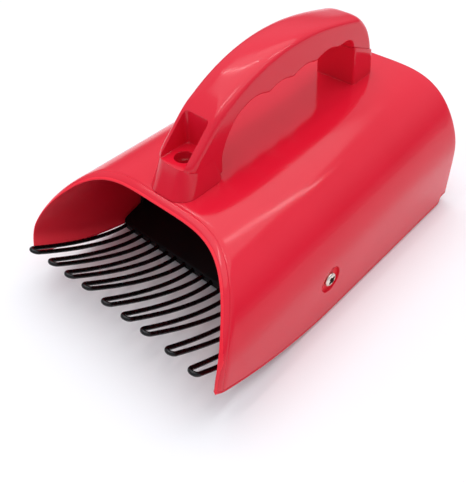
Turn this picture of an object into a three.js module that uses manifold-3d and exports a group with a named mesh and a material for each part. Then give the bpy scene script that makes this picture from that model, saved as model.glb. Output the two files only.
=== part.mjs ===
// Berry picking rake: an arched plastic scoop with a loop handle and a comb of nine wire teeth.
// Millimetres, +Z up, teeth towards -Y. The origin is the middle of the length, on the resting plane.

import * as THREE from 'three'
import Module from 'manifold-3d'
import { mergeVertices } from 'three/addons/utils/BufferGeometryUtils.js'

const wasm = await Module()
wasm.setup()

// Hood shell. Y is measured here from a reference plane across the mouth.
const hoodLength = 214
const mouthHalfWidth = 77
const backHalfWidth = 71
const mouthHeight = 76
const backHeight = 86.5
const hoodWall = 2.6
const floorThickness = 2.4
const shoulderHeightShare = 0.512
const archWidthPowerShare = 4.28
const archHeightPowerShare = 1.19

// Mouth rim, seen from the side: swept forward from the crown, then returning a little at the corner
const rimCrownSetback = 21
const rimSweep = 101
const rimReturn = 68.4
const rimCornerReach = 16.3
const lipDepth = 1.2
const lipCrownWidth = 6
const lipSideWidth = 4.3
const lipWidthPowerShare = 3
const lipCurlPowerShare = 2

// Lower edge: flat to rest on, rising towards the mouth, with a raised step at the back
const sillFlatStart = 80.6
const sillMouthRise = 19.7
const sillRadius = 3
const backStepLength = 10.5
const backStepRise = 4.8
const backStepRun = 2.4
const backEdgeRadius = 3
const floorFront = 74

// Loop handle, its front post and the rear post moulded on the hood
const gripHalfWidth = 13
const gripEdgeRadius = 1
const gripTopEdgeRadius = 4
const gripTopHeight = 134.2
const gripTopY = 123
const gripRearY = 175
const gripFrontY = 61
const fingerGrooveFirstY = 75
const fingerGroovePitch = 19.8
const fingerGrooveDepth = 2.6
const fingerGrooveCount = 4
const frontPostFaceY = 28
const frontPostBackY = 58.1
const frontPostCornerRadius = 9
const pocketFrontY = 33.5
const pocketBackY = 54.2
const pocketHalfWidth = 8.8
const pocketCornerRadius = 2.2
const rearPostFaceY = 171.8
const rearPostFaceLean = 1.6
const rearPostBackY = 194.2
const rearPostBackLean = 2.2
const rearPostCornerRadius = 2.5
const rearPostMargin = 1
const rearPostRoot = 6
const frontPostSkirtHeight = 15
const frontPostSkirtFlare = 2
const frontPostSkirtPowerShare = 1.4
const frontPostSkirtBackRadius = 6
const frontPostRunShare = 0.36

// Heights on the handle, as shares of its rise from the mouth's crown to the top of the grip
const gripRearDropShare = 0.1306
const gripFrontDropShare = 0.2887
const gripUnderHeightShare = 0.6117
const gripUnderRiseShare = 0.057
const pocketFloorHeightShare = 0.2887
const pocketTopHeightShare = 0.6323
const partingFrontHeightShare = 0.5773
const partingBackHeightShare = 0.4141

// Pulls of the handle's curves, as shares of the run and the rise of each stretch
const gripFrontPullShares = [0.3, 0.66, 0.38]
const gripRearPullShares = [0.4, 0.26, 0.34]
const gripEndPullShares = [0.55, 0.22, 0.9, 0.4]
const rearCornerPullShares = [0.4, 0.3, 3.4]
const throatPullShares = [1.29, 0.39, 0.01, 0.01, 0.33, 0]

// Screws that hold the handle
const handleScrewRadius = 2
const handleScrewHeadRadius = 4.2
const handleScrewHeadHeight = 2.8
const handleScrewLength = 16
const handleScrewBossRadius = 5.5
const handleScrewBossLength = 13
const handleScrewWellRadius = 5.3
const frontScrewY = 43
const frontScrewSeatRise = 5.4
const rearScrewSeatRise = 6.5

// Comb base: a ramp behind the teeth, with an ear at each side
const combBaseFrontY = 45
const combBaseBackY = 93
const combBaseSideGap = 3.1
const combBaseNoseUnder = 4.4
const combBaseNoseTop = 8.9
const combBaseRise = 15.2
const combBaseSkin = 2.6
const combBaseCornerRadius = 4
const combLipDepth = 2.2
const earThickness = 2.6
const earRadius = 10
const earFootHalfLength = 14

// Clamp strip under the tooth roots and its screws
const clampThickness = 3.2
const clampFrontY = 47.2
const clampBackY = 71
const clampEndMargin = 2.3
const clampScrewRadius = 1.5
const clampScrewHeadRadius = 2.4
const clampScrewHeadHeight = 1.5
const clampScrewLength = 6.4
const clampScrewPairShares = [1.5, 3.5]

// Teeth: hairpins of coated wire
const toothCount = 9
const toothEndMargin = 7.48
const toothRootSpacingShare = 0.5243
const toothTipSpacingShare = 0.3325
const wireRadius = 1.3
const wireSides = 8
const wireLegSteps = 13
const wireBendSteps = 8
const toothReach = 21.9
const toothTipHeight = 33.9
const toothRootHeight = 6.6
const toothRootStraightFrom = 44
const toothCurvePowerShare = 1.49
const toothTail = 25
const toothTipShifts = [-0.2, 0.4, -0.5, -1.8, -0.4, -0.5, -1.3, 1.4, 2.9]
const toothTipReaches = [2.2, 0.9, 0.5, -0.4, -0.2, -0.6, -0.9, -0.8, 0]

// Side screws that hold the comb base to the hood
const sideScrewY = 75.6
const sideScrewHeight = 29
const sideScrewRadius = 2
const sideScrewHeadRadius = 4.1
const sideScrewHeadHeight = 2.5
const sideScrewLength = 14
const sideRecessRadius = 8.4
const sideRecessDepth = 1.5
const sideRecessTilt = 0.9
const sidePadRadius = 9.5
const sidePadHeight = 1.8
const nutAcrossFlats = 7
const nutThickness = 3.2

// Cross slots in the screw heads
const slotLengthShare = 0.62
const slotWidthShare = 0.17
const slotDepthShare = 0.62

// Clearances and the overrun of cuts
const seatGap = 0.3
const overrun = 12
const nutSides = 6
const roundSides = 28
const smallRoundSides = 20
const boreSides = 12
const edgeSteps = 3
const curveSteps = 8
const archSteps = 13
const sideSteps = 4
const cornerSteps = 3
const hoodStationShares = [0.94, 0.82, 0.66, 0.5, 0.36, 0.24, 0.14]
const lipStationShares = [1, 0.7, 0.4, 0.15, 0]
const backStationShares = [1, 0.4, 0.12, 0]
const cutStationShares = [1, 0.75, 0.5, 0.25, 0]
const skirtStationShares = [0, 0.1, 0.25, 0.45, 0.7, 1]

// Finishes
const redPlastic = new THREE.MeshStandardMaterial({ color: 0xe3283c, roughness: 0.22, metalness: 0 })
const blackPlastic = new THREE.MeshStandardMaterial({ color: 0x0b0b0c, roughness: 0.45, metalness: 0 })
const coatedWire = new THREE.MeshStandardMaterial({ color: 0x070708, roughness: 0.35, metalness: 0 })
const brightSteel = new THREE.MeshStandardMaterial({ color: 0xc9c6c0, roughness: 0.3, metalness: 1 })

// Helpers that turn geometry into solids and back

function toSolid(geometry) {
  const plain = geometry.clone()
  plain.deleteAttribute('normal')
  plain.deleteAttribute('uv')
  const merged = mergeVertices(plain)
  const triVerts = Uint32Array.from(merged.index.array)
  const vertProperties = Float32Array.from(merged.attributes.position.array)
  return new wasm.Manifold(new wasm.Mesh({ numProp: 3, vertProperties, triVerts }))
}

function toMesh(name, solid, material) {
  const { vertProperties, triVerts } = solid.getMesh()
  const geometry = new THREE.BufferGeometry()
  geometry.setAttribute('position', new THREE.BufferAttribute(Float32Array.from(vertProperties), 3))
  geometry.setIndex(new THREE.BufferAttribute(Uint32Array.from(triVerts), 1))
  geometry.computeVertexNormals()
  const mesh = new THREE.Mesh(geometry, material)
  mesh.name = name
  return mesh
}

// A solid through closed rings of points. Each ring runs counterclockwise seen from the last ring's side.
function loft(rings) {
  const count = rings[0].length
  const positions = []
  const indices = []
  for (const ring of rings) {
    for (const point of ring) positions.push(point.x, point.y, point.z)
  }
  const addCentre = (ring) => {
    const centre = new THREE.Vector3()
    for (const point of ring) centre.add(point)
    centre.divideScalar(count)
    positions.push(centre.x, centre.y, centre.z)
    return positions.length / 3 - 1
  }
  for (let j = 0; j + 1 < rings.length; j++) {
    for (let i = 0; i < count; i++) {
      const next = (i + 1) % count
      const a = j * count + i
      const b = j * count + next
      const c = a + count
      const d = b + count
      indices.push(a, b, c, b, d, c)
    }
  }
  const first = addCentre(rings[0])
  const last = addCentre(rings[rings.length - 1])
  const lastStart = (rings.length - 1) * count
  for (let i = 0; i < count; i++) {
    const next = (i + 1) % count
    indices.push(first, next, i)
    indices.push(last, lastStart + i, lastStart + next)
  }
  const geometry = new THREE.BufferGeometry()
  geometry.setAttribute('position', new THREE.BufferAttribute(Float32Array.from(positions), 3))
  geometry.setIndex(indices)
  return toSolid(geometry)
}

// A shape drawn in Y and Z, extruded across the width and centred on the middle plane
function sidePrism(shape, halfWidth, edgeRadius = 0) {
  const geometry = new THREE.ExtrudeGeometry(shape, {
    depth: 2 * (halfWidth - edgeRadius),
    bevelEnabled: edgeRadius > 0,
    bevelThickness: edgeRadius,
    bevelSize: edgeRadius,
    bevelOffset: -edgeRadius,
    bevelSegments: edgeSteps,
    curveSegments: curveSteps,
  })
  geometry.translate(0, 0, edgeRadius - halfWidth)
  const across = new THREE.Matrix4().makeBasis(
    new THREE.Vector3(0, 1, 0),
    new THREE.Vector3(0, 0, 1),
    new THREE.Vector3(1, 0, 0),
  )
  geometry.applyMatrix4(across)
  return toSolid(geometry)
}

function shapeFrom(points) {
  return new THREE.Shape(points.map(([a, b]) => new THREE.Vector2(a, b)))
}

// A round bar from one point towards a direction
function bar(start, direction, radius, length, sides = smallRoundSides, endRadius = radius) {
  const geometry = new THREE.CylinderGeometry(endRadius, radius, length, sides)
  geometry.translate(0, length / 2, 0)
  const turn = new THREE.Quaternion().setFromUnitVectors(new THREE.Vector3(0, 1, 0), direction)
  geometry.applyQuaternion(turn)
  geometry.translate(start.x, start.y, start.z)
  return toSolid(geometry)
}

function box(width, depth, height, x, y, z) {
  const geometry = new THREE.BoxGeometry(width, depth, height)
  geometry.translate(x, y, z)
  return toSolid(geometry)
}

// A closed ring in plan: a rectangle with its own front and back corner radius
function planRing(halfWidth, frontY, backY, frontRadius, backRadius, height) {
  const points = []
  const corner = (centreX, centreY, radius, startAngle) => {
    for (let k = 0; k <= cornerSteps; k++) {
      const angle = startAngle + (k / cornerSteps) * (Math.PI / 2)
      const x = centreX + radius * Math.cos(angle)
      const y = centreY + radius * Math.sin(angle)
      points.push(new THREE.Vector3(x, y, height))
    }
  }
  corner(halfWidth - frontRadius, frontY + frontRadius, frontRadius, -Math.PI / 2)
  corner(halfWidth - backRadius, backY - backRadius, backRadius, 0)
  corner(backRadius - halfWidth, backY - backRadius, backRadius, Math.PI / 2)
  corner(frontRadius - halfWidth, frontY + frontRadius, frontRadius, Math.PI)
  return points
}

// Hood section

const alongShare = (y) => y / hoodLength
const hoodHalfWidth = (y) => mouthHalfWidth + (backHalfWidth - mouthHalfWidth) * alongShare(y)
const hoodHeight = (y) => mouthHeight + (backHeight - mouthHeight) * alongShare(y)

// Sizes that follow from the hood and the top of the grip
const handleRise = gripTopHeight - mouthHeight
const gripRearDrop = handleRise * gripRearDropShare
const gripFrontDrop = handleRise * gripFrontDropShare
const gripUnderHeight = mouthHeight + handleRise * gripUnderHeightShare
const gripUnderRise = handleRise * gripUnderRiseShare
const pocketFloorHeight = mouthHeight + handleRise * pocketFloorHeightShare
const pocketTopHeight = mouthHeight + handleRise * pocketTopHeightShare
const partingFrontHeight = mouthHeight + handleRise * partingFrontHeightShare
const partingBackHeight = mouthHeight + handleRise * partingBackHeightShare
const combHalfWidth = (y) => hoodHalfWidth(y) - hoodWall - combBaseSideGap
const clampHalfWidth = combHalfWidth(clampBackY) - clampEndMargin
const toothPitch = (combHalfWidth(combBaseFrontY) - toothEndMargin) / ((toothCount - 1) / 2)
const toothRootSpacing = toothPitch * toothRootSpacingShare
const toothTipSpacing = toothPitch * toothTipSpacingShare

function sillHeight(y) {
  const stepStart = hoodLength - backStepLength
  if (y > stepStart) return backStepRise * Math.min(1, (y - stepStart) / backStepRun)
  if (y > sillFlatStart) return 0
  const share = (sillFlatStart - y) / (sillFlatStart + rimCornerReach)
  return sillMouthRise * share * share
}

function rimY(heightShare) {
  const drop = 1 - heightShare
  return rimCrownSetback - rimSweep * drop + rimReturn * drop * drop
}

// The half section as places on it: along the floor, round the corner, up the side and over the arch
function sectionPlaces() {
  const places = [{ part: 'floor', share: 0 }]
  for (let k = 0; k <= cornerSteps; k++) places.push({ part: 'corner', share: k / cornerSteps })
  for (let k = 1; k <= sideSteps; k++) places.push({ part: 'side', share: k / sideSteps })
  for (let k = 1; k <= archSteps; k++) places.push({ part: 'arch', share: k / archSteps })
  return places
}

// Where one place of the section lies at a distance along the hood, set in from the outside by inset
function sectionPoint(place, y, inset, sillLift) {
  const halfWidth = hoodHalfWidth(y) - inset
  const top = hoodHeight(y) - inset
  const shoulder = hoodHeight(y) * shoulderHeightShare
  const bottom = sillHeight(y) + sillLift
  const radius = Math.max(sillRadius - inset, sillRadius - hoodWall)
  if (place.part === 'floor') return { x: 0, z: bottom }
  if (place.part === 'corner') {
    const angle = (place.share * Math.PI) / 2
    const x = halfWidth - radius + radius * Math.sin(angle)
    return { x, z: bottom + radius - radius * Math.cos(angle) }
  }
  if (place.part === 'side') {
    const start = bottom + radius
    return { x: halfWidth, z: start + (shoulder - start) * place.share }
  }
  const angle = (place.share * Math.PI) / 2
  const across = Math.pow(Math.max(Math.cos(angle), 0), 2 / archWidthPowerShare)
  const up = Math.pow(Math.sin(angle), 2 / archHeightPowerShare)
  return { x: place.share < 1 ? halfWidth * across : 0, z: shoulder + (top - shoulder) * up }
}

// The Y of the rim at one place of the section, found by stepping towards the crossing
function rimAt(place) {
  let y = 0
  for (let k = 0; k < 8; k++) y = rimY(sectionPoint(place, y, 0, 0).z / hoodHeight(y))
  return y
}

function lipWidthAt(place) {
  const heightShare = sectionPoint(place, 0, 0, 0).z / mouthHeight
  return lipSideWidth + (lipCrownWidth - lipSideWidth) * Math.pow(heightShare, lipWidthPowerShare)
}

// One closed ring of the hood, from a rule that gives each place its Y
function hoodRing(yOf, inset, sillLift = 0) {
  const right = sectionPlaces().map((place) => {
    const y = yOf(place)
    const { x, z } = sectionPoint(place, y, inset, sillLift)
    return new THREE.Vector3(x, y, z)
  })
  const left = right.slice(1, -1).reverse().map((point) => new THREE.Vector3(-point.x, point.y, point.z))
  return [...right, ...left]
}

function hoodOutside() {
  const rings = []
  for (const share of [...backStationShares].reverse()) {
    const arc = backEdgeRadius * (1 - Math.sqrt(1 - (1 - share) * (1 - share)))
    rings.push(hoodRing(() => hoodLength - backEdgeRadius * share, arc, arc))
  }
  const stepStart = hoodLength - backStepLength
  rings.push(hoodRing(() => stepStart + backStepRun, 0))
  rings.push(hoodRing(() => stepStart, 0))
  const frontStations = (place) => rimAt(place) + lipWidthAt(place)
  for (const share of hoodStationShares) {
    rings.push(hoodRing((place) => frontStations(place) + (stepStart - frontStations(place)) * share, 0))
  }
  for (const share of lipStationShares) {
    const arc = lipDepth * Math.pow(1 - share, lipCurlPowerShare)
    rings.push(hoodRing((place) => rimAt(place) + lipWidthAt(place) * share, arc, 0))
  }
  return loft(rings)
}

// The room inside, from the back wall out past the rim
function hoodInside() {
  const backY = hoodLength - hoodWall
  const stepStart = hoodLength - backStepLength - floorThickness
  const rings = [hoodRing(() => backY, hoodWall, floorThickness)]
  rings.push(hoodRing(() => stepStart + backStepRun, hoodWall, floorThickness + backStepRise))
  rings.push(hoodRing(() => stepStart, hoodWall, floorThickness))
  for (const share of hoodStationShares) {
    const yOf = (place) => rimAt(place) + (stepStart - rimAt(place)) * share
    rings.push(hoodRing(yOf, hoodWall, floorThickness))
  }
  rings.push(hoodRing((place) => rimAt(place) - overrun, hoodWall, floorThickness))
  return loft(rings)
}

// The opening under the comb, where the hood has walls but no floor
function frontFloorCut() {
  const rings = []
  for (const share of cutStationShares) {
    const yOf = () => floorFront - (floorFront + rimCornerReach + overrun) * (1 - share)
    rings.push(hoodRing(yOf, hoodWall, -overrun))
  }
  const half = rings.map((ring) => ring.map((point) => {
    const z = Math.min(point.z, sideScrewHeight)
    return new THREE.Vector3(point.x, point.y, z)
  }))
  return loft(half)
}

// Heights at which the front and rear post end, on the hood and inside it
const frontPostBase = hoodHeight(frontPostFaceY) + seatGap
const rearPostBase = hoodHeight(rearPostFaceY) - rearPostRoot

// The outer side of the loop, from the foot of the front post over the grip to the foot of the rear post
function drawLoopCrown(shape) {
  shape.lineTo(pocketFrontY, pocketFloorHeight)
  shape.lineTo(pocketBackY, pocketTopHeight)
  const frontTop = gripTopHeight - gripFrontDrop
  const rearTop = gripTopHeight - gripRearDrop
  shape.lineTo(gripFrontY, frontTop)
  const topSpan = gripTopY - gripFrontY
  const [frontRun, frontLift, topRun] = gripFrontPullShares
  shape.bezierCurveTo(
    gripFrontY + topSpan * frontRun, frontTop + gripFrontDrop * frontLift,
    gripTopY - topSpan * topRun, gripTopHeight,
    gripTopY, gripTopHeight,
  )
  const rearSpan = gripRearY - gripTopY
  const [crownRun, rearRun, rearLift] = gripRearPullShares
  shape.bezierCurveTo(
    gripTopY + rearSpan * crownRun, gripTopHeight,
    gripRearY - rearSpan * rearRun, rearTop + gripRearDrop * rearLift,
    gripRearY, rearTop,
  )
  const rearEndDrop = rearTop - partingBackHeight
  const rearEndRun = rearPostBackY - rearPostBackLean - gripRearY
  const [endRun, endDrop, lateRun, lateLift] = gripEndPullShares
  shape.bezierCurveTo(
    gripRearY + rearEndRun * endRun, rearTop - rearEndDrop * endDrop,
    gripRearY + rearEndRun * lateRun, partingBackHeight + rearEndDrop * lateLift,
    gripRearY + rearEndRun, partingBackHeight,
  )
  shape.lineTo(rearPostBackY, rearPostBase)
}

// The whole loop of the handle seen from the side, both posts included
function loopShape() {
  const backBase = hoodHeight(frontPostBackY) + seatGap
  const shape = new THREE.Shape()
  shape.moveTo(frontPostFaceY, frontPostBase)
  drawLoopCrown(shape)
  shape.lineTo(rearPostFaceY, rearPostBase)
  const rearFaceTopY = rearPostFaceY - rearPostFaceLean
  const lastCuspY = fingerGrooveFirstY + fingerGroovePitch * fingerGrooveCount
  const [cornerStart, cornerLift, cornerRun] = rearCornerPullShares
  const cornerTop = cuspHeight(1) + fingerGrooveDepth * cornerLift
  shape.lineTo(rearFaceTopY, partingFrontHeight - fingerGrooveDepth)
  shape.quadraticCurveTo(
    rearFaceTopY - fingerGrooveDepth * cornerStart, cornerTop,
    rearFaceTopY - fingerGrooveDepth * cornerRun, cornerTop,
  )
  shape.lineTo(lastCuspY, cuspHeight(1))
  for (let k = fingerGrooveCount - 1; k >= 0; k--) {
    const endY = fingerGrooveFirstY + fingerGroovePitch * k
    const endShare = k / fingerGrooveCount
    const middle = (cuspHeight(endShare) + cuspHeight((k + 1) / fingerGrooveCount)) / 2
    const pull = middle + 2 * fingerGrooveDepth
    shape.quadraticCurveTo(endY + fingerGroovePitch / 2, pull, endY, cuspHeight(endShare))
  }
  const throatRun = fingerGrooveFirstY - frontPostBackY
  const [throatDrop, highRun, highDrop, lowRun, lowLift, rootRun] = throatPullShares
  const throatStart = cuspHeight(0) - throatRun * throatDrop
  shape.bezierCurveTo(
    fingerGrooveFirstY - throatRun * highRun, cuspHeight(0) - throatRun * highDrop,
    frontPostBackY + throatRun * lowRun, throatStart + throatRun * lowLift,
    frontPostBackY + throatRun * rootRun, throatStart,
  )
  shape.lineTo(frontPostBackY, backBase)
  shape.closePath()
  return shape
}

// Height of the ridge between two fingers, from the first (0) to the last (1)
function cuspHeight(share) {
  return gripUnderHeight + gripUnderRise * Math.pow(share, 3) * (4 - 3 * share)
}

// The slanted joint between the grip's rear end and the rear post
const partingRun = rearPostBackY - rearPostBackLean - (rearPostFaceY - rearPostFaceLean)
const partingSlopeShare = (partingBackHeight - partingFrontHeight) / partingRun
const partingAt = (y) => partingFrontHeight + partingSlopeShare * (y - rearPostFaceY + rearPostFaceLean)
const partingNormal = new THREE.Vector3(0, -partingSlopeShare, 1).normalize()

// The room under the joint, from in front of the rear post to behind it
function underParting(gap) {
  const frontY = rearPostFaceY - rearPostFaceLean - seatGap
  const backY = rearPostBackY + overrun
  const low = hoodHeight(frontY) - overrun
  return sidePrism(shapeFrom([
    [frontY, low],
    [backY, low],
    [backY, partingAt(backY) + gap],
    [frontY, partingAt(frontY) + gap],
  ]), gripHalfWidth + overrun)
}

// The flared foot of the front post, following the crown of the hood
function frontPostSkirt() {
  const rings = []
  for (const share of skirtStationShares) {
    const flare = frontPostSkirtFlare * Math.pow(1 - share, frontPostSkirtPowerShare) - share * seatGap
    const rise = share * frontPostSkirtHeight
    const ring = planRing(
      gripHalfWidth + flare, frontPostFaceY - flare + rise * frontPostRunShare, frontPostBackY - seatGap,
      frontPostCornerRadius + Math.max(flare, 0), frontPostSkirtBackRadius, 0,
    )
    rings.push(ring.map((point) => {
      return new THREE.Vector3(point.x, point.y, hoodHeight(point.y) + seatGap + rise)
    }))
  }
  return loft(rings)
}

const up = new THREE.Vector3(0, 0, 1)
const down = new THREE.Vector3(0, 0, -1)
const frontScrewSeat = new THREE.Vector3(0, frontScrewY, hoodHeight(frontScrewY) + frontScrewSeatRise)
const partingMiddleY = rearPostFaceY - rearPostFaceLean + partingRun / 2
const partingMiddle = new THREE.Vector3(0, partingMiddleY, partingAt(partingMiddleY))
const rearScrewSeat = partingMiddle.clone().addScaledVector(partingNormal, rearScrewSeatRise)

// The loop with its outer edges rounded more than its inner ones, and its ends rounded in plan,
// before it is parted into grip and rear post
function wholeLoop() {
  const low = hoodHeight(0) - overrun
  const crown = new THREE.Shape()
  crown.moveTo(frontPostFaceY, low)
  crown.lineTo(frontPostFaceY, frontPostBase)
  drawLoopCrown(crown)
  crown.lineTo(rearPostBackY, low)
  crown.closePath()
  const rounded = sidePrism(crown, gripHalfWidth, gripTopEdgeRadius)
  const loop = sidePrism(loopShape(), gripHalfWidth, gripEdgeRadius).intersect(rounded)
  const plan = loft([hoodHeight(0) - overrun, gripTopHeight + overrun].map((height) => planRing(
    gripHalfWidth + seatGap, frontPostFaceY, rearPostBackY,
    frontPostCornerRadius, rearPostCornerRadius, height,
  )))
  return loop.intersect(plan)
}

function makeHandle() {
  let handle = wholeLoop().subtract(underParting(seatGap)).add(frontPostSkirt())
  const pocket = loft([pocketFloorHeight, gripTopHeight + overrun].map((height) => planRing(
    pocketHalfWidth, frontPostFaceY - overrun, pocketBackY, seatGap, pocketCornerRadius, height,
  )))
  handle = handle.subtract(pocket)
  const wellLength = pocketFloorHeight - frontScrewSeat.z + overrun
  handle = handle.subtract(bar(frontScrewSeat, up, handleScrewWellRadius, wellLength, roundSides))
  const clearRadius = handleScrewRadius + seatGap
  const below = frontScrewSeat.clone().addScaledVector(down, overrun)
  handle = handle.subtract(bar(below, up, clearRadius, 2 * overrun))
  const rearWell = bar(rearScrewSeat, partingNormal, handleScrewWellRadius, 3 * overrun, roundSides)
  handle = handle.subtract(rearWell)
  const rearBelow = rearScrewSeat.clone().addScaledVector(partingNormal, -overrun)
  return handle.subtract(bar(rearBelow, partingNormal, clearRadius, 2 * overrun))
}

// A pan head screw with a cross slot; the seat is the underside of its head
function panScrew(seat, direction, shankRadius, length, headRadius, headHeight) {
  const lift = seat.clone().addScaledVector(direction, seatGap)
  const start = seat.clone().addScaledVector(direction, -length)
  const rim = bar(lift, direction, headRadius, headHeight / 2, roundSides)
  const domeSeat = lift.clone().addScaledVector(direction, headHeight / 2)
  const crownRadius = headRadius * slotLengthShare
  const dome = bar(domeSeat, direction, headRadius, headHeight / 2, roundSides, crownRadius)
  const shank = bar(start, direction, shankRadius, length + seatGap + headHeight / 2)
  let screw = rim.add(dome).add(shank)
  const turn = new THREE.Quaternion().setFromUnitVectors(up, direction)
  const top = lift.clone().addScaledVector(direction, headHeight)
  const slotDepth = headHeight * slotDepthShare
  for (const share of [0, 1]) {
    const long = 2 * headRadius * slotLengthShare
    const wide = 2 * headRadius * slotWidthShare
    const slot = new THREE.BoxGeometry(share ? wide : long, share ? long : wide, 2 * slotDepth)
    slot.applyQuaternion(turn)
    slot.translate(top.x, top.y, top.z)
    screw = screw.subtract(toSolid(slot))
  }
  return screw
}

// Comb base seen from the side: nose, ramp, crest, and a skirt down to the hood's floor
const combRampY = combBaseBackY - combBaseFrontY
const rampAt = (y) => combBaseNoseTop + (combBaseRise * (y - combBaseFrontY)) / combRampY
const clampTop = toothRootHeight - seatGap

function combBaseShape() {
  const skirtFoot = floorThickness + seatGap
  const innerBackY = combBaseBackY - combBaseSkin
  const noseBackY = clampBackY + seatGap
  return shapeFrom([
    [combBaseFrontY, combBaseNoseUnder],
    [clampFrontY - seatGap, combBaseNoseUnder],
    [clampFrontY - seatGap, clampTop + seatGap],
    [noseBackY, clampTop + seatGap],
    [noseBackY, rampAt(noseBackY) - combBaseSkin],
    [innerBackY, rampAt(innerBackY) - combBaseSkin],
    [innerBackY, skirtFoot],
    [combBaseBackY, skirtFoot],
    [combBaseBackY, rampAt(combBaseBackY)],
    [combBaseBackY - combLipDepth, rampAt(combBaseBackY)],
    [combBaseFrontY + combLipDepth / 2, rampAt(combBaseFrontY)],
    [combBaseFrontY, rampAt(combBaseFrontY) - combLipDepth / 2],
  ])
}

const sideWallInner = hoodHalfWidth(sideScrewY) - hoodWall
const padFace = sideWallInner - sidePadHeight
const earOuter = padFace - seatGap
const earInner = earOuter - earThickness

function toothPath(index) {
  const middle = (index - (toothCount - 1) / 2) * toothPitch
  const reach = toothReach + toothTipReaches[index]
  const reachBack = toothRootStraightFrom + reach - wireRadius
  const endY = toothRootStraightFrom + toothTail
  const tipCentreY = toothTipSpacing / 2 + wireRadius - reach
  const shareAt = (y) => Math.max(0, (toothRootStraightFrom - y) / reachBack)
  const bendAt = (y) => Math.pow(shareAt(y), toothCurvePowerShare)
  const heightAt = (y) => toothRootHeight + (toothTipHeight - toothRootHeight) * bendAt(y)
  const middleAt = (y) => middle + toothTipShifts[index] * bendAt(y)
  const reachAt = (y) => (toothRootSpacing + (toothTipSpacing - toothRootSpacing) * shareAt(y)) / 2
  class Hairpin extends THREE.Curve {
    getPoint(t) {
      const legShare = wireLegSteps / (2 * wireLegSteps + wireBendSteps)
      if (t <= legShare || t >= 1 - legShare) {
        const share = t <= legShare ? t / legShare : (1 - t) / legShare
        const y = endY + (tipCentreY - endY) * share
        const side = t <= legShare ? -1 : 1
        return new THREE.Vector3(middleAt(y) + side * reachAt(y), y, heightAt(y))
      }
      const angle = ((t - legShare) / (1 - 2 * legShare)) * Math.PI
      const bendRadius = reachAt(tipCentreY)
      const y = tipCentreY - bendRadius * Math.sin(angle)
      return new THREE.Vector3(middleAt(y) - bendRadius * Math.cos(angle), y, heightAt(y))
    }
    getPointAt(u) {
      return this.getPoint(u)
    }
    getTangentAt(u) {
      return this.getTangent(u)
    }
  }
  return new Hairpin()
}

function wireSolid(index, radius) {
  const section = new THREE.Shape()
  for (let k = 0; k < wireSides; k++) {
    const angle = (k / wireSides) * 2 * Math.PI
    const x = radius * Math.cos(angle)
    const y = radius * Math.sin(angle)
    if (k === 0) section.moveTo(x, y)
    else section.lineTo(x, y)
  }
  const geometry = new THREE.ExtrudeGeometry(section, {
    steps: 2 * wireLegSteps + wireBendSteps,
    bevelEnabled: false,
    extrudePath: toothPath(index),
  })
  return toSolid(geometry)
}

// The straight bores that the two legs of every tooth sit in
function legBores() {
  let bores
  const start = clampFrontY - overrun
  const length = toothRootStraightFrom + toothTail + seatGap - start
  for (let index = 0; index < toothCount; index++) {
    const middle = (index - (toothCount - 1) / 2) * toothPitch
    for (const side of [-1, 1]) {
      const x = middle + (side * toothRootSpacing) / 2
      const place = new THREE.Vector3(x, start, toothRootHeight)
      const bore = bar(place, new THREE.Vector3(0, 1, 0), wireRadius + seatGap, length, boreSides)
      bores = bores ? bores.add(bore) : bore
    }
  }
  return bores
}

const clampScrewXs = clampScrewPairShares.flatMap((share) => [-share * toothPitch, share * toothPitch])
const clampMiddleY = (clampFrontY + clampBackY) / 2
const clampUnder = clampTop - clampThickness
const clampSeat = clampUnder + clampScrewHeadHeight + 2 * seatGap

function makeCombBase(bores) {
  const outline = sidePrism(combBaseShape(), mouthHalfWidth)
  const plan = loft([-overrun, gripTopHeight].map((height) => {
    const frontHalfWidth = combHalfWidth(combBaseFrontY)
    const ring = planRing(
      frontHalfWidth, combBaseFrontY, combBaseBackY + overrun, combBaseCornerRadius, seatGap, height,
    )
    return ring.map((point) => {
      const narrowing = combHalfWidth(point.y) / frontHalfWidth
      return new THREE.Vector3(point.x * narrowing, point.y, point.z)
    })
  }))
  let base = outline.intersect(plan)
  const axis = new THREE.Vector3(1, 0, 0)
  for (const side of [-1, 1]) {
    const direction = axis.clone().multiplyScalar(side)
    const start = new THREE.Vector3(side * earInner, sideScrewY, sideScrewHeight)
    const round = bar(start, direction, earRadius, earThickness, roundSides)
    const foot = sidePrism(shapeFrom([
      [sideScrewY - earFootHalfLength, rampAt(sideScrewY - earFootHalfLength) - combBaseSkin / 2],
      [sideScrewY + earFootHalfLength, rampAt(sideScrewY + earFootHalfLength) - combBaseSkin / 2],
      [sideScrewY + earRadius, sideScrewHeight],
      [sideScrewY - earRadius, sideScrewHeight],
    ]), earThickness / 2).translate([side * (earInner + earThickness / 2), 0, 0])
    const padStart = new THREE.Vector3(side * earOuter, sideScrewY, sideScrewHeight)
    const padRoom = bar(padStart, direction, sidePadRadius + 2 * seatGap, overrun, roundSides)
    base = base.subtract(padRoom).add(round).add(foot)
    const holeStart = new THREE.Vector3(side * (earInner - overrun), sideScrewY, sideScrewHeight)
    base = base.subtract(bar(holeStart, direction, sideScrewRadius + seatGap, 2 * overrun))
  }
  for (const x of clampScrewXs) {
    const start = new THREE.Vector3(x, clampMiddleY, clampTop - seatGap)
    const depth = clampScrewLength - (clampTop - clampSeat) + 3 * seatGap
    base = base.subtract(bar(start, up, clampScrewRadius + seatGap, depth))
  }
  return base.subtract(bores)
}

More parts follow.
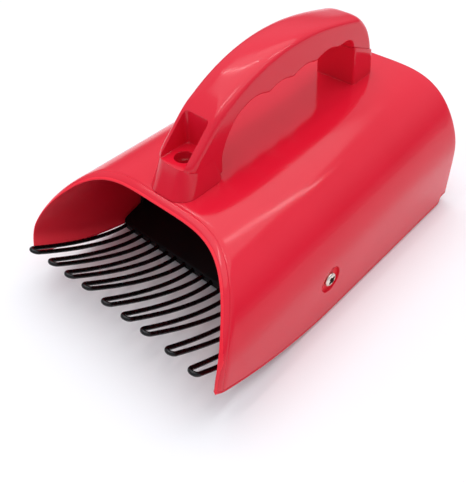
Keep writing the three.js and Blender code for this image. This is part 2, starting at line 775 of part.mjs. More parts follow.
function makeClampStrip(bores) {
  const depth = clampBackY - clampFrontY
  const z = clampTop - clampThickness / 2
  let strip = box(2 * clampHalfWidth, depth, clampThickness, 0, clampMiddleY, z)
  for (const x of clampScrewXs) {
    const through = new THREE.Vector3(x, clampMiddleY, clampUnder - overrun)
    strip = strip.subtract(bar(through, up, clampScrewRadius + seatGap, 2 * overrun))
    const wellLength = overrun + clampSeat - clampUnder
    strip = strip.subtract(bar(through, up, clampScrewHeadRadius + seatGap, wellLength, roundSides))
  }
  return strip.subtract(bores)
}

// The short post on the hood, a little wider than the grip that it carries
function makeRearPost() {
  const rise = partingFrontHeight - rearPostBase
  const backLean = (rearPostBackLean * rise) / (partingBackHeight - rearPostBase)
  const halfWidth = gripHalfWidth + rearPostMargin
  const foot = planRing(
    halfWidth, rearPostFaceY, rearPostBackY,
    gripEdgeRadius, rearPostCornerRadius, rearPostBase,
  )
  const head = planRing(
    halfWidth, rearPostFaceY - rearPostFaceLean, rearPostBackY - backLean,
    gripEdgeRadius, rearPostCornerRadius, partingFrontHeight,
  )
  return loft([foot, head]).intersect(underParting(0))
}

function makeHood() {
  const inside = hoodInside()
  let hood = hoodOutside().subtract(inside).subtract(frontFloorCut())
  hood = hood.add(makeRearPost().subtract(inside))
  const bossTop = hoodHeight(frontScrewY) - hoodWall / 2
  const bossStart = new THREE.Vector3(0, frontScrewY, bossTop - handleScrewBossLength)
  hood = hood.add(bar(bossStart, up, handleScrewBossRadius, handleScrewBossLength, roundSides))
  const pilotRadius = handleScrewRadius + seatGap
  const pilotStart = frontScrewSeat.clone().addScaledVector(down, handleScrewLength + 2 * seatGap)
  hood = hood.subtract(bar(pilotStart, up, pilotRadius, handleScrewLength + overrun))
  const rearPilot = rearScrewSeat.clone().addScaledVector(partingNormal, -handleScrewLength - 2 * seatGap)
  hood = hood.subtract(bar(rearPilot, partingNormal, pilotRadius, handleScrewLength + overrun))
  const axis = new THREE.Vector3(1, 0, 0)
  for (const side of [-1, 1]) {
    const direction = axis.clone().multiplyScalar(side)
    const padStart = new THREE.Vector3(side * padFace, sideScrewY, sideScrewHeight)
    hood = hood.add(bar(padStart, direction, sidePadRadius, sidePadHeight + hoodWall / 2, roundSides))
    const tilt = sideRecessTilt / sideRecessRadius
    const dish = new THREE.Vector3(side, tilt, -tilt)
    const floorX = hoodHalfWidth(sideScrewY) - sideRecessDepth
    const dishStart = new THREE.Vector3(side * floorX, sideScrewY, sideScrewHeight)
    hood = hood.subtract(bar(dishStart, dish.normalize(), sideRecessRadius, overrun, roundSides))
    const seat = new THREE.Vector3(side * (floorX - seatGap), sideScrewY, sideScrewHeight)
    hood = hood.subtract(bar(seat, direction, sideScrewHeadRadius + 2 * seatGap, overrun, roundSides))
    const holeStart = new THREE.Vector3(side * (padFace - overrun), sideScrewY, sideScrewHeight)
    hood = hood.subtract(bar(holeStart, direction, sideScrewRadius + seatGap, 2 * overrun))
  }
  return hood
}

function makeSideNut(side) {
  const direction = new THREE.Vector3(side, 0, 0)
  const radius = nutAcrossFlats / 2 / Math.cos(Math.PI / nutSides)
  const start = new THREE.Vector3(side * (earInner - seatGap - nutThickness), sideScrewY, sideScrewHeight)
  const nut = bar(start, direction, radius, nutThickness, nutSides)
  const holeStart = new THREE.Vector3(side * (earInner - overrun), sideScrewY, sideScrewHeight)
  return nut.subtract(bar(holeStart, direction, sideScrewRadius + seatGap, 2 * overrun))
}

const rake = new THREE.Group()
const bores = legBores()

rake.add(toMesh('hood_shell', makeHood(), redPlastic))
rake.add(toMesh('handle', makeHandle(), redPlastic))
rake.add(toMesh('front_handle_screw', panScrew(
  frontScrewSeat, up, handleScrewRadius, handleScrewLength, handleScrewHeadRadius, handleScrewHeadHeight,
), brightSteel))
rake.add(toMesh('rear_handle_screw', panScrew(
  rearScrewSeat, partingNormal, handleScrewRadius, handleScrewLength,
  handleScrewHeadRadius, handleScrewHeadHeight,
), brightSteel))
rake.add(toMesh('comb_base', makeCombBase(bores), blackPlastic))
rake.add(toMesh('comb_clamp_strip', makeClampStrip(bores), blackPlastic))

clampScrewXs.forEach((x, index) => {
  const seat = new THREE.Vector3(x, clampMiddleY, clampSeat)
  const screw = panScrew(
    seat, down, clampScrewRadius, clampScrewLength, clampScrewHeadRadius, clampScrewHeadHeight,
  )
  rake.add(toMesh(`clamp_screw_${index + 1}`, screw, brightSteel))
})

for (let index = 0; index < toothCount; index++) {
  rake.add(toMesh(`comb_tooth_${index + 1}`, wireSolid(index, wireRadius), coatedWire))
}

for (const [side, name] of [[-1, 'left'], [1, 'right']]) {
  const seatX = hoodHalfWidth(sideScrewY) - sideRecessDepth - seatGap
  const seat = new THREE.Vector3(side * seatX, sideScrewY, sideScrewHeight)
  const screw = panScrew(
    seat, new THREE.Vector3(side, 0, 0), sideScrewRadius, sideScrewLength,
    sideScrewHeadRadius, sideScrewHeadHeight,
  )
  rake.add(toMesh(`${name}_side_screw`, screw, brightSteel))
  rake.add(toMesh(`${name}_side_nut`, makeSideNut(side), brightSteel))
}

// The origin goes to the middle of the length
rake.position.y = (toothReach + Math.max(...toothTipReaches) - hoodLength) / 2

export default rake
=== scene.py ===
"""Looks of a berry picking rake: glossy red hood, loop handle, black comb and wire teeth."""

import logging
import math
from dataclasses import dataclass
from enum import Enum
from typing import Callable, Sequence

import bmesh
import bpy
import numpy as np
from mathutils import Matrix, Vector
from mathutils.geometry import tessellate_polygon


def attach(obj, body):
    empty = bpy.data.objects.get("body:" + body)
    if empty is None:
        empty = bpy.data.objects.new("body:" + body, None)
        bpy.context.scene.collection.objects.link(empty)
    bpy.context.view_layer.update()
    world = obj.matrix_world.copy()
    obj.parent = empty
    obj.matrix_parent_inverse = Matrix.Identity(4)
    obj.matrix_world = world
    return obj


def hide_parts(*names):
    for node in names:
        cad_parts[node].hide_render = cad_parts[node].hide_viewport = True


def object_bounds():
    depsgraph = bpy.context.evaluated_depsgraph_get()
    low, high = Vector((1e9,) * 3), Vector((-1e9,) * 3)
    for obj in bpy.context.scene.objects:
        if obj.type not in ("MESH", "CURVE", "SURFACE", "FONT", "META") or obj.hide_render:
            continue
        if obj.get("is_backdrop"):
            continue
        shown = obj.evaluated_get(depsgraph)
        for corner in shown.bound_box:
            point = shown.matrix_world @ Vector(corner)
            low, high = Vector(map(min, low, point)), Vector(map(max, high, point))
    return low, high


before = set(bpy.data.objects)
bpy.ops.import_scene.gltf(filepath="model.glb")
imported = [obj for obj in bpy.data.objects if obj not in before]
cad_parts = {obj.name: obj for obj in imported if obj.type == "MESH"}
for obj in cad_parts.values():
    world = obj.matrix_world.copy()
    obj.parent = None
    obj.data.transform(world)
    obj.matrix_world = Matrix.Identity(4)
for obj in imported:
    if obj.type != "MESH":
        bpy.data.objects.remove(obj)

log = logging.getLogger("berry_rake")

MM = 0.001
ROW_SHIFT_MM = -94.95

NOISE = "ShaderNodeTexNoise"
RAMP = "ShaderNodeMapRange"
MIX = "ShaderNodeMix"
MATH = "ShaderNodeMath"
BEVEL = "ShaderNodeBevel"
BUMP = "ShaderNodeBump"
SURFACE = "ShaderNodeBsdfPrincipled"
GLOW = "ShaderNodeBackground"

UP = Vector((0, 0, 1))
DOWN = Vector((0, 0, -1))

Pair = tuple[float, float]
Point = tuple[float, float, float]
Cell = tuple[int, int]
Place = tuple[str, float]
PlaceRule = Callable[[Place], float]
HeightRule = Callable[[float], float]


class Slot(Enum):
    """The record's material slots."""

    RED = "red_plastic"
    BLACK = "black_plastic"
    WIRE = "coated_wire"
    STEEL = "bright_steel"


class Side(Enum):
    """The two sides of the hood, with the sign of their X."""

    LEFT = -1
    RIGHT = 1


# Colour and nodes


def linear(code: str) -> tuple[float, float, float, float]:
    """Turn an sRGB hex value into linear RGBA.

    Args:
        code: six hex digits.

    Returns:
        The colour as Blender's sockets take it.
    """
    parts = [int(code[k : k + 2], 16) / 255 for k in (0, 2, 4)]
    flat = [c / 12.92 if c <= 0.04045 else ((c + 0.055) / 1.055) ** 2.4 for c in parts]
    return (flat[0], flat[1], flat[2], 1.0)


def add_node(tree: bpy.types.NodeTree, kind: str, values: dict | None = None, links: dict | None = None,
             **settings: object) -> bpy.types.Node:
    """Add one node with its settings, socket values and incoming links.

    Args:
        tree: the node tree.
        kind: the node's type name.
        values: socket name or number to its value.
        links: socket name or number to the output that feeds it.
        settings: the node's own properties.

    Returns:
        The new node.
    """
    node = tree.nodes.new(kind)
    for name, value in settings.items():
        setattr(node, name, value)
    for name, value in (values or {}).items():
        node.inputs[name].default_value = value
    for name, output in (links or {}).items():
        tree.links.new(output, node.inputs[name])
    return node


def span(low: float, high: float, first: float, last: float) -> dict[str, float]:
    """The socket values that turn the range from low to high into the one from first to last."""
    return {"From Min": low, "From Max": high, "To Min": first, "To Max": last}


def pattern(size_mm: float, detail: float, roughness: float = 0.5) -> dict[str, float]:
    """The socket values of a pattern of one size, with its finer detail and how strong that is."""
    return {"Scale": 1 / (size_mm * MM), "Detail": detail, "Roughness": roughness}


# Finishes


@dataclass(frozen=True)
class Finish:
    """What all finishes share: a name, and the way their material is put together."""

    name: str

    def make(self) -> bpy.types.Material:
        """Build the material and return it.

        Returns:
            The material.
        """
        material = bpy.data.materials.new(self.name)
        material.use_nodes = True
        tree = material.node_tree
        tree.nodes.clear()
        place = add_node(tree, "ShaderNodeTexCoord").outputs["Object"]
        shader = self.shade(tree, place)
        add_node(tree, "ShaderNodeOutputMaterial", links={"Surface": shader.outputs["BSDF"]})
        return material

    def shade(self, tree: bpy.types.NodeTree, place: bpy.types.NodeSocket) -> bpy.types.Node:
        """Add the nodes of this finish.

        Args:
            tree: the material's node tree.
            place: the output with the place on the piece, in metres.

        Returns:
            The shader's node.
        """
        raise NotImplementedError(self.name)


@dataclass(frozen=True)
class MouldedAbs(Finish):
    """Glossy ABS from a polished mould: clear reflections, a faint ripple and a little handling haze."""

    name: str = "moulded_glossy_abs"
    colour: str = "E61D36"
    deep_colour: str = "DC162E"
    ior: float = 1.5
    mirror: float = 0.36
    roughness: float = 0.1
    haze: float = 0.06
    cloud_mm: float = 38.0
    smear_mm: float = 16.0
    ripple_mm: float = 9.0
    ripple_height_mm: float = 0.012
    # The grain of a polished mould is finer; it is drawn as coarse as it needs to show
    grain_mm: float = 0.55
    grain_height_mm: float = 0.0012
    edge_radius_mm: float = 0.35
    scatter: float = 0.06
    scatter_mm: float = 0.8

    def shade(self, tree: bpy.types.NodeTree, place: bpy.types.NodeSocket) -> bpy.types.Node:
        """Add the nodes of the moulded ABS.

        Args:
            tree: the material's node tree.
            place: the output with the place on the piece, in metres.

        Returns:
            The shader's node.
        """
        cloud = add_node(tree, NOISE, pattern(self.cloud_mm, 3.0), {"Vector": place})
        tone = add_node(tree, MIX, {6: linear(self.deep_colour), 7: linear(self.colour)},
                        {0: cloud.outputs["Fac"]}, data_type="RGBA")
        # The haze left by hands and cloths: patches a few centimetres wide, finer streaks inside them
        smear = add_node(tree, NOISE, pattern(self.smear_mm, 5.0, 0.62), {"Vector": place})
        rough = add_node(tree, RAMP, span(0.35, 0.75, self.roughness, self.roughness + self.haze),
                         {"Value": smear.outputs["Fac"]})
        edge = add_node(tree, BEVEL, {"Radius": self.edge_radius_mm * MM}, samples=4)
        ripple = add_node(tree, NOISE, pattern(self.ripple_mm, 1.0), {"Vector": place})
        wave = add_node(tree, BUMP, {"Strength": 1.0, "Distance": self.ripple_height_mm * MM},
                        {"Height": ripple.outputs["Fac"], "Normal": edge.outputs["Normal"]})
        grain = add_node(tree, NOISE, pattern(self.grain_mm, 2.0), {"Vector": place})
        bump = add_node(tree, BUMP, {"Strength": 1.0, "Distance": self.grain_height_mm * MM},
                        {"Height": grain.outputs["Fac"], "Normal": wave.outputs["Normal"]})
        return add_node(tree, SURFACE,
                        {"IOR": self.ior, "Specular IOR Level": self.mirror, "Metallic": 0.0,
                         "Subsurface Weight": self.scatter, "Subsurface Scale": self.scatter_mm * MM,
                         "Subsurface Radius": (1.0, 0.18, 0.12)},
                        {"Base Color": tone.outputs[2], "Roughness": rough.outputs["Result"],
                         "Normal": bump.outputs["Normal"]})


@dataclass(frozen=True)
class MouldedBlack(Finish):
    """Black polypropylene from a fine-blasted mould: satin, with a fine even grain."""

    name: str = "moulded_black_polypropylene"
    colour: str = "020203"
    worn_colour: str = "0A0A0B"
    ior: float = 1.49
    mirror: float = 0.2
    roughness: float = 0.46
    wear: float = 0.16
    scuff_mm: float = 12.0
    # Blasted grain is finer on the real part; it is drawn as coarse as it needs to show
    grain_mm: float = 0.7
    grain_height_mm: float = 0.01
    edge_radius_mm: float = 0.4

    def shade(self, tree: bpy.types.NodeTree, place: bpy.types.NodeSocket) -> bpy.types.Node:
        """Add the nodes of the moulded polypropylene.

        Args:
            tree: the material's node tree.
            place: the output with the place on the piece, in metres.

        Returns:
            The shader's node.
        """
        scuff = add_node(tree, NOISE, pattern(self.scuff_mm, 6.0, 0.7), {"Vector": place})
        share = add_node(tree, RAMP, span(0.5, 0.8, 0.0, 1.0), {"Value": scuff.outputs["Fac"]})
        tone = add_node(tree, MIX, {6: linear(self.colour), 7: linear(self.worn_colour)},
                        {0: share.outputs["Result"]}, data_type="RGBA")
        rough = add_node(tree, RAMP, span(0.0, 1.0, self.roughness, self.roughness + self.wear),
                         {"Value": scuff.outputs["Fac"]})
        edge = add_node(tree, BEVEL, {"Radius": self.edge_radius_mm * MM}, samples=4)
        grain = add_node(tree, NOISE, pattern(self.grain_mm, 3.0), {"Vector": place})
        bump = add_node(tree, BUMP, {"Strength": 1.0, "Distance": self.grain_height_mm * MM},
                        {"Height": grain.outputs["Fac"], "Normal": edge.outputs["Normal"]})
        return add_node(tree, SURFACE, {"IOR": self.ior, "Specular IOR Level": self.mirror, "Metallic": 0.0},
                        {"Base Color": tone.outputs[2], "Roughness": rough.outputs["Result"],
                         "Normal": bump.outputs["Normal"]})


@dataclass(frozen=True)
class DippedWire(Finish):
    """Steel wire dipped in black vinyl: smooth, slightly wavy skin with soft highlights."""

    name: str = "vinyl_dipped_wire"
    colour: str = "020203"
    ior: float = 1.5
    mirror: float = 0.36
    roughness: float = 0.24
    roughness_below: float = 0.05
    roughness_above: float = 0.12
    wave_mm: float = 2.4
    wave_height_mm: float = 0.03

    def shade(self, tree: bpy.types.NodeTree, place: bpy.types.NodeSocket) -> bpy.types.Node:
        """Add the nodes of the dipped wire.

        Args:
            tree: the material's node tree.
            place: the output with the place on the piece, in metres.

        Returns:
            The shader's node.
        """
        wave = add_node(tree, NOISE, pattern(self.wave_mm, 3.0), {"Vector": place})
        dull = span(0.0, 1.0, self.roughness - self.roughness_below, self.roughness + self.roughness_above)
        rough = add_node(tree, RAMP, dull, {"Value": wave.outputs["Fac"]})
        bump = add_node(tree, BUMP, {"Strength": 1.0, "Distance": self.wave_height_mm * MM},
                        {"Height": wave.outputs["Fac"]})
        return add_node(tree, SURFACE,
                        {"Base Color": linear(self.colour), "IOR": self.ior,
                         "Specular IOR Level": self.mirror, "Metallic": 0.0},
                        {"Roughness": rough.outputs["Result"], "Normal": bump.outputs["Normal"]})


@dataclass(frozen=True)
class PlatedSteel(Finish):
    """Turned steel with bright zinc plating: warm white metal with faint turning marks and dull spots."""

    name: str = "bright_zinc_plated_steel"
    colour: str = "F2ECE2"
    dull_colour: str = "CBC3B6"
    roughness: float = 0.24
    roughness_below: float = 0.06
    roughness_above: float = 0.16
    spot_mm: float = 1.6
    # Turning marks are finer on a real screw; they are drawn as coarse as they need to show
    mark_mm: float = 0.5
    mark_height_mm: float = 0.01
    edge_radius_mm: float = 0.12

    def shade(self, tree: bpy.types.NodeTree, place: bpy.types.NodeSocket) -> bpy.types.Node:
        """Add the nodes of the plated steel.

        Args:
            tree: the material's node tree.
            place: the output with the place on the piece, in metres.

        Returns:
            The shader's node.
        """
        spot = add_node(tree, NOISE, pattern(self.spot_mm, 4.0), {"Vector": place})
        tone = add_node(tree, MIX, {6: linear(self.colour), 7: linear(self.dull_colour)},
                        {0: spot.outputs["Fac"]}, data_type="RGBA")
        dull = span(0.0, 1.0, self.roughness - self.roughness_below, self.roughness + self.roughness_above)
        rough = add_node(tree, RAMP, dull, {"Value": spot.outputs["Fac"]})
        edge = add_node(tree, BEVEL, {"Radius": self.edge_radius_mm * MM}, samples=4)
        mark = add_node(tree, NOISE, pattern(self.mark_mm, 2.0), {"Vector": place})
        bump = add_node(tree, BUMP, {"Strength": 1.0, "Distance": self.mark_height_mm * MM},
                        {"Height": mark.outputs["Fac"], "Normal": edge.outputs["Normal"]})
        return add_node(tree, SURFACE, {"Metallic": 1.0},
                        {"Base Color": tone.outputs[2], "Roughness": rough.outputs["Result"],
                         "Normal": bump.outputs["Normal"]})


# Mesh drafting


def smooth_step(value: float) -> float:
    """Ease a share between 0 and 1."""
    share = min(1.0, max(0.0, value))
    return share * share * (3 - 2 * share)


class Draft:
    """Points in millimetres, with Y from the mouth's plane, and the faces between them."""

    def __init__(self) -> None:
        """Start empty."""
        self.points: list[Point] = []
        self.faces: list[tuple[int, ...]] = []

    def grid(self, rows: Sequence[Sequence[Point]], closed: bool = False,
             skip: set[Cell] | None = None) -> None:
        """Add faces between rows of points.

        Args:
            rows: rows with the same number of points.
            closed: join the end of each row to its start.
            skip: cells, as row and column, that are left open.
        """
        start = len(self.points)
        count = len(rows[0])
        for row in rows:
            self.points.extend(row)
        cells = count if closed else count - 1
        for j in range(len(rows) - 1):
            for i in range(cells):
                if skip and (j, i) in skip:
                    continue
                after = (i + 1) % count
                a = start + j * count + i
                b = start + j * count + after
                self.faces.append((a, b, b + count, a + count))

    def cap(self, ring: Sequence[Point]) -> None:
        """Close a flat ring with one face.

        Args:
            ring: the ring's points.
        """
        start = len(self.points)
        self.points.extend(ring)
        self.faces.append(tuple(range(start, start + len(ring))))

    def loft(self, rings: Sequence[Sequence[Point]]) -> None:
        """Add a closed solid through rings.

        Args:
            rings: rings with the same number of points.
        """
        self.grid(rings, closed=True)
        self.cap(rings[0])
        self.cap(rings[-1])

    def lathe(self, origin: Vector, axis: Vector, profile: Sequence[Pair], sides: int) -> None:
        """Add a turned solid.

        Args:
            origin: where the profile's heights start, in millimetres.
            axis: the direction of the heights.
            profile: radius and height pairs, from the axis back to the axis.
            sides: the number of sides.
        """
        turn = UP.rotation_difference(axis)
        rows = []
        for radius, height in profile:
            row = []
            for k in range(sides):
                angle = 2 * math.pi * k / sides
                spot = Vector((radius * math.cos(angle), radius * math.sin(angle), height))
                spot.rotate(turn)
                row.append(tuple(origin + spot))
            rows.append(row)
        self.grid(rows, closed=True)

    def mesh(self, name: str, sharp_angle: float = 32.0) -> bpy.types.Mesh:
        """Turn the draft into a mesh in metres, in the row frame.

        Args:
            name: the mesh's name.
            sharp_angle: edges that turn by more degrees stay crisp.

        Returns:
            The mesh, with smooth faces.
        """
        data = bpy.data.meshes.new(name)
        spots = [(x * MM, (y + ROW_SHIFT_MM) * MM, z * MM) for x, y, z in self.points]
        data.from_pydata(spots, [], self.faces)
        work = bmesh.new()
        work.from_mesh(data)
        bmesh.ops.remove_doubles(work, verts=work.verts, dist=0.002 * MM)
        bmesh.ops.dissolve_degenerate(work, edges=work.edges, dist=0.0005 * MM)
        bmesh.ops.recalc_face_normals(work, faces=work.faces)
        work.to_mesh(data)
        work.free()
        smooth(data, sharp_angle)
        return data


def smooth(data: bpy.types.Mesh, sharp_angle: float) -> None:
    """Shade a mesh smooth and keep its sharp edges crisp.

    Args:
        data: the mesh.
        sharp_angle: edges that turn by more degrees stay crisp.
    """
    data.polygons.foreach_set("use_smooth", [True] * len(data.polygons))
    data.set_sharp_from_angle(angle=math.radians(sharp_angle))
    data.update()


def combine(base: bpy.types.Mesh, tools: Sequence[tuple[str, bpy.types.Mesh]],
            sharp_angle: float = 32.0) -> bpy.types.Mesh:
    """Join or cut a mesh with others.

    Args:
        base: the mesh that is worked on.
        tools: pairs of UNION or DIFFERENCE and the mesh to do it with.
        sharp_angle: edges that turn by more degrees stay crisp.

    Returns:
        The new mesh.
    """
    scene = bpy.context.scene
    body = bpy.data.objects.new("work_body", base)
    scene.collection.objects.link(body)
    helpers = []
    for number, (operation, data) in enumerate(tools):
        helper = bpy.data.objects.new(f"work_tool_{number}", data)
        scene.collection.objects.link(helper)
        helpers.append(helper)
        step = body.modifiers.new(f"step_{number}", "BOOLEAN")
        step.operation = operation
        step.solver = "EXACT"
        step.object = helper
    bpy.context.view_layer.update()
    depsgraph = bpy.context.evaluated_depsgraph_get()
    result = bpy.data.meshes.new_from_object(body.evaluated_get(depsgraph))
    for item in [body, *helpers]:
        bpy.data.objects.remove(item)
    smooth(result, sharp_angle)
    return result


def place_piece(name: str, data: bpy.types.Mesh, material: bpy.types.Material, slot: Slot, *nodes: str,
                weighted: bool = False) -> bpy.types.Object:
    """Put a finished mesh into the scene as a piece of the rake.

    Args:
        name: the piece's name.
        data: its mesh.
        material: its finish.
        slot: the record's slot that the finish belongs to; not used.
        nodes: the CAD nodes that it stands for.
        weighted: let large flat faces rule the shading next to them.

    Returns:
        The piece.
    """
    piece = bpy.data.objects.new(name, data)
    bpy.context.scene.collection.objects.link(piece)
    data.materials.clear()
    data.materials.append(material)
    if weighted:
        even = piece.modifiers.new("even_shading", "WEIGHTED_NORMAL")
        even.keep_sharp = True
        even.weight = 50
    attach(piece, "root")
    if nodes:
        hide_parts(*nodes)
    log.info("%s: %d faces, stands for %s", name, len(data.polygons), ", ".join(nodes) or "nothing")
    return piece


def dress_node(name: str, material: bpy.types.Material, sharp_angle: float = 30.0) -> None:
    """Give a carried-over CAD node its finish and soft shading.

    Args:
        name: the node's name.
        material: its finish.
        sharp_angle: edges that turn by more degrees stay crisp.
    """
    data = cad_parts[name].data
    data.materials.clear()
    data.materials.append(material)
    smooth(data, sharp_angle)
    log.info("%s: carried over", name)


# Hood


@dataclass
class HoodShell:
    """The arched scoop: walls, curled lip, floor, back wall, rear post and inner bosses, in millimetres."""

    finish: bpy.types.Material
    # The inside's finish: the same red ABS, its colour painted lighter as painted light
    inside: bpy.types.Material
    length: float = 214.0
    mouth_half_width: float = 76.99
    back_half_width: float = 71.0
    mouth_height: float = 76.0
    back_height: float = 86.5
    wall: float = 2.6
    floor_thickness: float = 2.4
    shoulder_share: float = 0.512
    width_power: float = 4.28
    height_power: float = 1.19
    turn_blend: float = 0.1
    turn_reach: float = 0.7
    turn_fade_start: float = 0.4
    turn_fade: float = 0.3
    rim_crown: float = 21.0
    rim_sweep: float = 101.0
    rim_return: float = 68.4
    rim_corner: float = 16.3
    rim_corner_round: float = 5.0
    lip_depth: float = 1.7
    lip_crown_width: float = 6.0
    lip_side_width: float = 4.8
    lip_power: float = 2.2
    groove_depth: float = 0.3
    groove_share: float = 0.88
    groove_spread: float = 0.07
    edge_groove_depth: float = 0.5
    edge_groove_height: float = 2.9
    edge_groove_width: float = 0.55
    sill_flat_start: float = 80.6
    sill_rise: float = 19.7
    step_length: float = 10.5
    step_rise: float = 4.8
    step_run: float = 2.4
    edge_radius: float = 3.0
    floor_front: float = 74.0
    recess_y: float = 75.6
    recess_z: float = 29.0
    recess_radius: float = 8.0
    recess_depth: float = 1.5
    recess_tilt: float = 0.9
    recess_round: float = 0.35
    recess_cove: float = 0.6
    recess_margin: float = 0.9
    recess_border: float = 3.0
    recess_search: float = 2.4
    dish_radius: float = 6.2
    hub_radius: float = 4.7
    hub_chamfer: float = 0.2
    hub_depth: float = 0.3
    hub_gap: float = 0.25
    hole_radius: float = 2.2
    bore_radius: float = 2.3
    pad_radius: float = 9.5
    pad_height: float = 1.8
    pad_depth: float = 2.6
    boss_y: float = 43.0
    boss_radius: float = 5.5
    boss_height: float = 13.0
    corner_steps: int = 6
    side_steps: int = 44
    arch_steps: int = 52
    round_steps: int = 6
    lip_steps: int = 24
    body_steps: tuple[int, int, int] = (25, 23, 35)
    step_steps: int = 6
    edge_steps: int = 7
    rim_passes: int = 10

    def __post_init__(self) -> None:
        """Work out the section's places and, at each, the rim, the lip's width and its back edge."""
        self.lip_half = (self.wall - self.lip_depth) / 2
        self.step_start = self.length - self.step_length
        self.borders: dict[Side, list[Point]] = {}
        self.spots = self.places()
        self.rim = {p: self.rim_at(p) for p in self.spots}
        self.lip = {p: self.lip_width(p) for p in self.spots}
        self.front = {p: self.rim[p] + self.lip[p] for p in self.spots}

    def half_width(self, y: float) -> float:
        """Half the outside width at a distance along the hood."""
        return self.mouth_half_width + (self.back_half_width - self.mouth_half_width) * y / self.length

    def height(self, y: float) -> float:
        """The crown's height at a distance along the hood."""
        return self.mouth_height + (self.back_height - self.mouth_height) * y / self.length

    def sill(self, y: float) -> float:
        """The height of the lower edge.

        Args:
            y: the distance along the hood.

        Returns:
            The height.
        """
        if y > self.step_start:
            return self.step_rise * smooth_step((y - self.step_start) / self.step_run)
        if y > self.sill_flat_start:
            return 0.0
        share = (self.sill_flat_start - y) / (self.sill_flat_start + self.rim_corner)
        return self.sill_rise * share * share

    def places(self) -> list[Place]:
        """The half section as places: round the lower corner, up the side and over the arch.

        Returns:
            The places, from the lower edge to the middle of the crown.
        """
        spots: list[Place] = [("corner", k / self.corner_steps) for k in range(self.corner_steps + 1)]
        # Close together over the fine groove above the lower edge
        spots += [("side", share) for share in (0.006, 0.012, 0.018, 0.024, 0.03, 0.037)]
        spots += [("side", k / self.side_steps) for k in range(2, self.side_steps + 1)]
        spots += [("arch", angle) for angle in self.even_arch()[1:]]
        return spots

    def even_arch(self) -> list[float]:
        """Angles that space the points of the arch evenly along it.

        Returns:
            The angles, from the shoulder to the crown.
        """
        count = 3000
        middle = 100.0
        dense = np.unique(np.concatenate([
            np.linspace(0, math.pi / 2, count),
            np.arccos(np.linspace(1, 0, count) ** (self.width_power / 2)),
        ]))
        x = self.half_width(middle) * np.maximum(np.cos(dense), 0) ** (2 / self.width_power)
        z = self.height(middle) * (1 - self.shoulder_share) * np.sin(dense) ** (2 / self.height_power)
        run = np.concatenate([[0], np.cumsum(np.hypot(np.diff(x), np.diff(z)))])
        steps = np.linspace(0, run[-1], self.arch_steps + 1)
        return [float(a) for a in np.interp(steps, run, dense)]

    def spot(self, place: Place, y: float, inset: float = 0.0, lift: float = 0.0,
             inner: bool = False) -> Pair:
        """Where a place of the section lies.

        Args:
            place: the place on the half section.
            y: the distance along the hood.
            inset: how far in from the outside.
            lift: how far the lower edge is raised.
            inner: whether it is the inner face, whose lower corner is square.

        Returns:
            X and Z.
        """
        half = self.half_width(y) - inset
        top = self.height(y) - inset
        shoulder = self.height(y) * self.shoulder_share
        bottom = self.sill(y) + lift
        radius = max(self.wall - inset, 0.0)
        kind, share = place
        if kind == "corner":
            if inner:
                return half, bottom + self.wall * share
            angle = share * math.pi / 2
            return half - radius + radius * math.sin(angle), bottom + radius - radius * math.cos(angle)
        if kind == "side":
            start = bottom + (self.wall if inner else radius)
            z = start + (shoulder - start) * share
            above = (z - bottom - self.edge_groove_height) / self.edge_groove_width
            dip = 0.0 if inner else math.exp(-(above**2))
            return half - self.edge_groove_depth * dip - self.relief(y, z), z
        across = max(math.cos(share), 0.0) ** (2 / self.width_power)
        up = math.sin(share) ** (2 / self.height_power)
        crown = share > math.pi / 2 - 1e-6
        z = shoulder + (top - shoulder) * up
        return (0.0 if crown else half * across - self.relief(y, z)), z

    def relief(self, y: float, z: float) -> float:
        """How much the wall is drawn in where it turns into the arch, so that the turn has no line.

        Args:
            y: the distance along the hood.
            z: the height.

        Returns:
            The distance inwards.
        """
        shoulder = self.height(y) * self.shoulder_share
        share = (z - shoulder) / (self.height(y) - shoulder)
        if abs(share) > self.turn_reach:
            return 0.0
        eased = self.turn_blend * math.log1p(math.exp(share / self.turn_blend))
        sharp = (1 - max(share, 0.0) ** self.height_power) ** (1 / self.width_power)
        soft = (1 - eased**self.height_power) ** (1 / self.width_power)
        fade = smooth_step((share - self.turn_fade_start) / self.turn_fade)
        return self.half_width(y) * (sharp - soft) * (1 - fade)

    def rim_at(self, place: Place) -> float:
        """The Y of the rim, found by stepping towards where the rim's curve crosses the section.

        Args:
            place: the place on the half section.

        Returns:
            The Y.
        """
        y = 0.0
        for _ in range(self.rim_passes):
            drop = 1 - self.spot(place, y)[1] / self.height(y)
            y = self.rim_crown - self.rim_sweep * drop + self.rim_return * drop * drop
        above = self.spot(place, y)[1] - self.sill(y)
        corner = self.rim_corner_round
        if above < corner:
            y += corner - math.sqrt(max(corner**2 - (corner - max(above, 0.0)) ** 2, 0.0))
        return y

    def lip_width(self, place: Place) -> float:
        """The width of the curled band at a place of the section."""
        share = self.spot(place, 0.0)[1] / self.mouth_height
        return self.lip_side_width + (self.lip_crown_width - self.lip_side_width) * share**3

    def row(self, y_of: PlaceRule, inset: float, lift: float = 0.0, inner: bool = False) -> list[Point]:
        """One row of points from the right lower edge over the crown to the left one.

        Args:
            y_of: the Y at each place of the section.
            inset: how far in from the outside.
            lift: how far the lower edge is raised.
            inner: whether it is the inner face.

        Returns:
            The row.
        """
        right = []
        for place in self.spots:
            y = y_of(place)
            x, z = self.spot(place, y, inset, lift, inner)
            right.append((x, y, z))
        left = [(-x, y, z) for x, y, z in reversed(right[:-1])]
        return right + left

    def lip_rule(self, share: float) -> PlaceRule:
        """The Ys of a row on the lip, from its round front (0) to its back edge (1)."""
        return lambda p: self.rim[p] + self.lip_half + (self.lip[p] - self.lip_half) * share

    def body_rule(self, share: float) -> PlaceRule:
        """The Ys of a row between the lip (0) and the back step (1)."""
        return lambda p: self.front[p] + (self.step_start - self.front[p]) * share

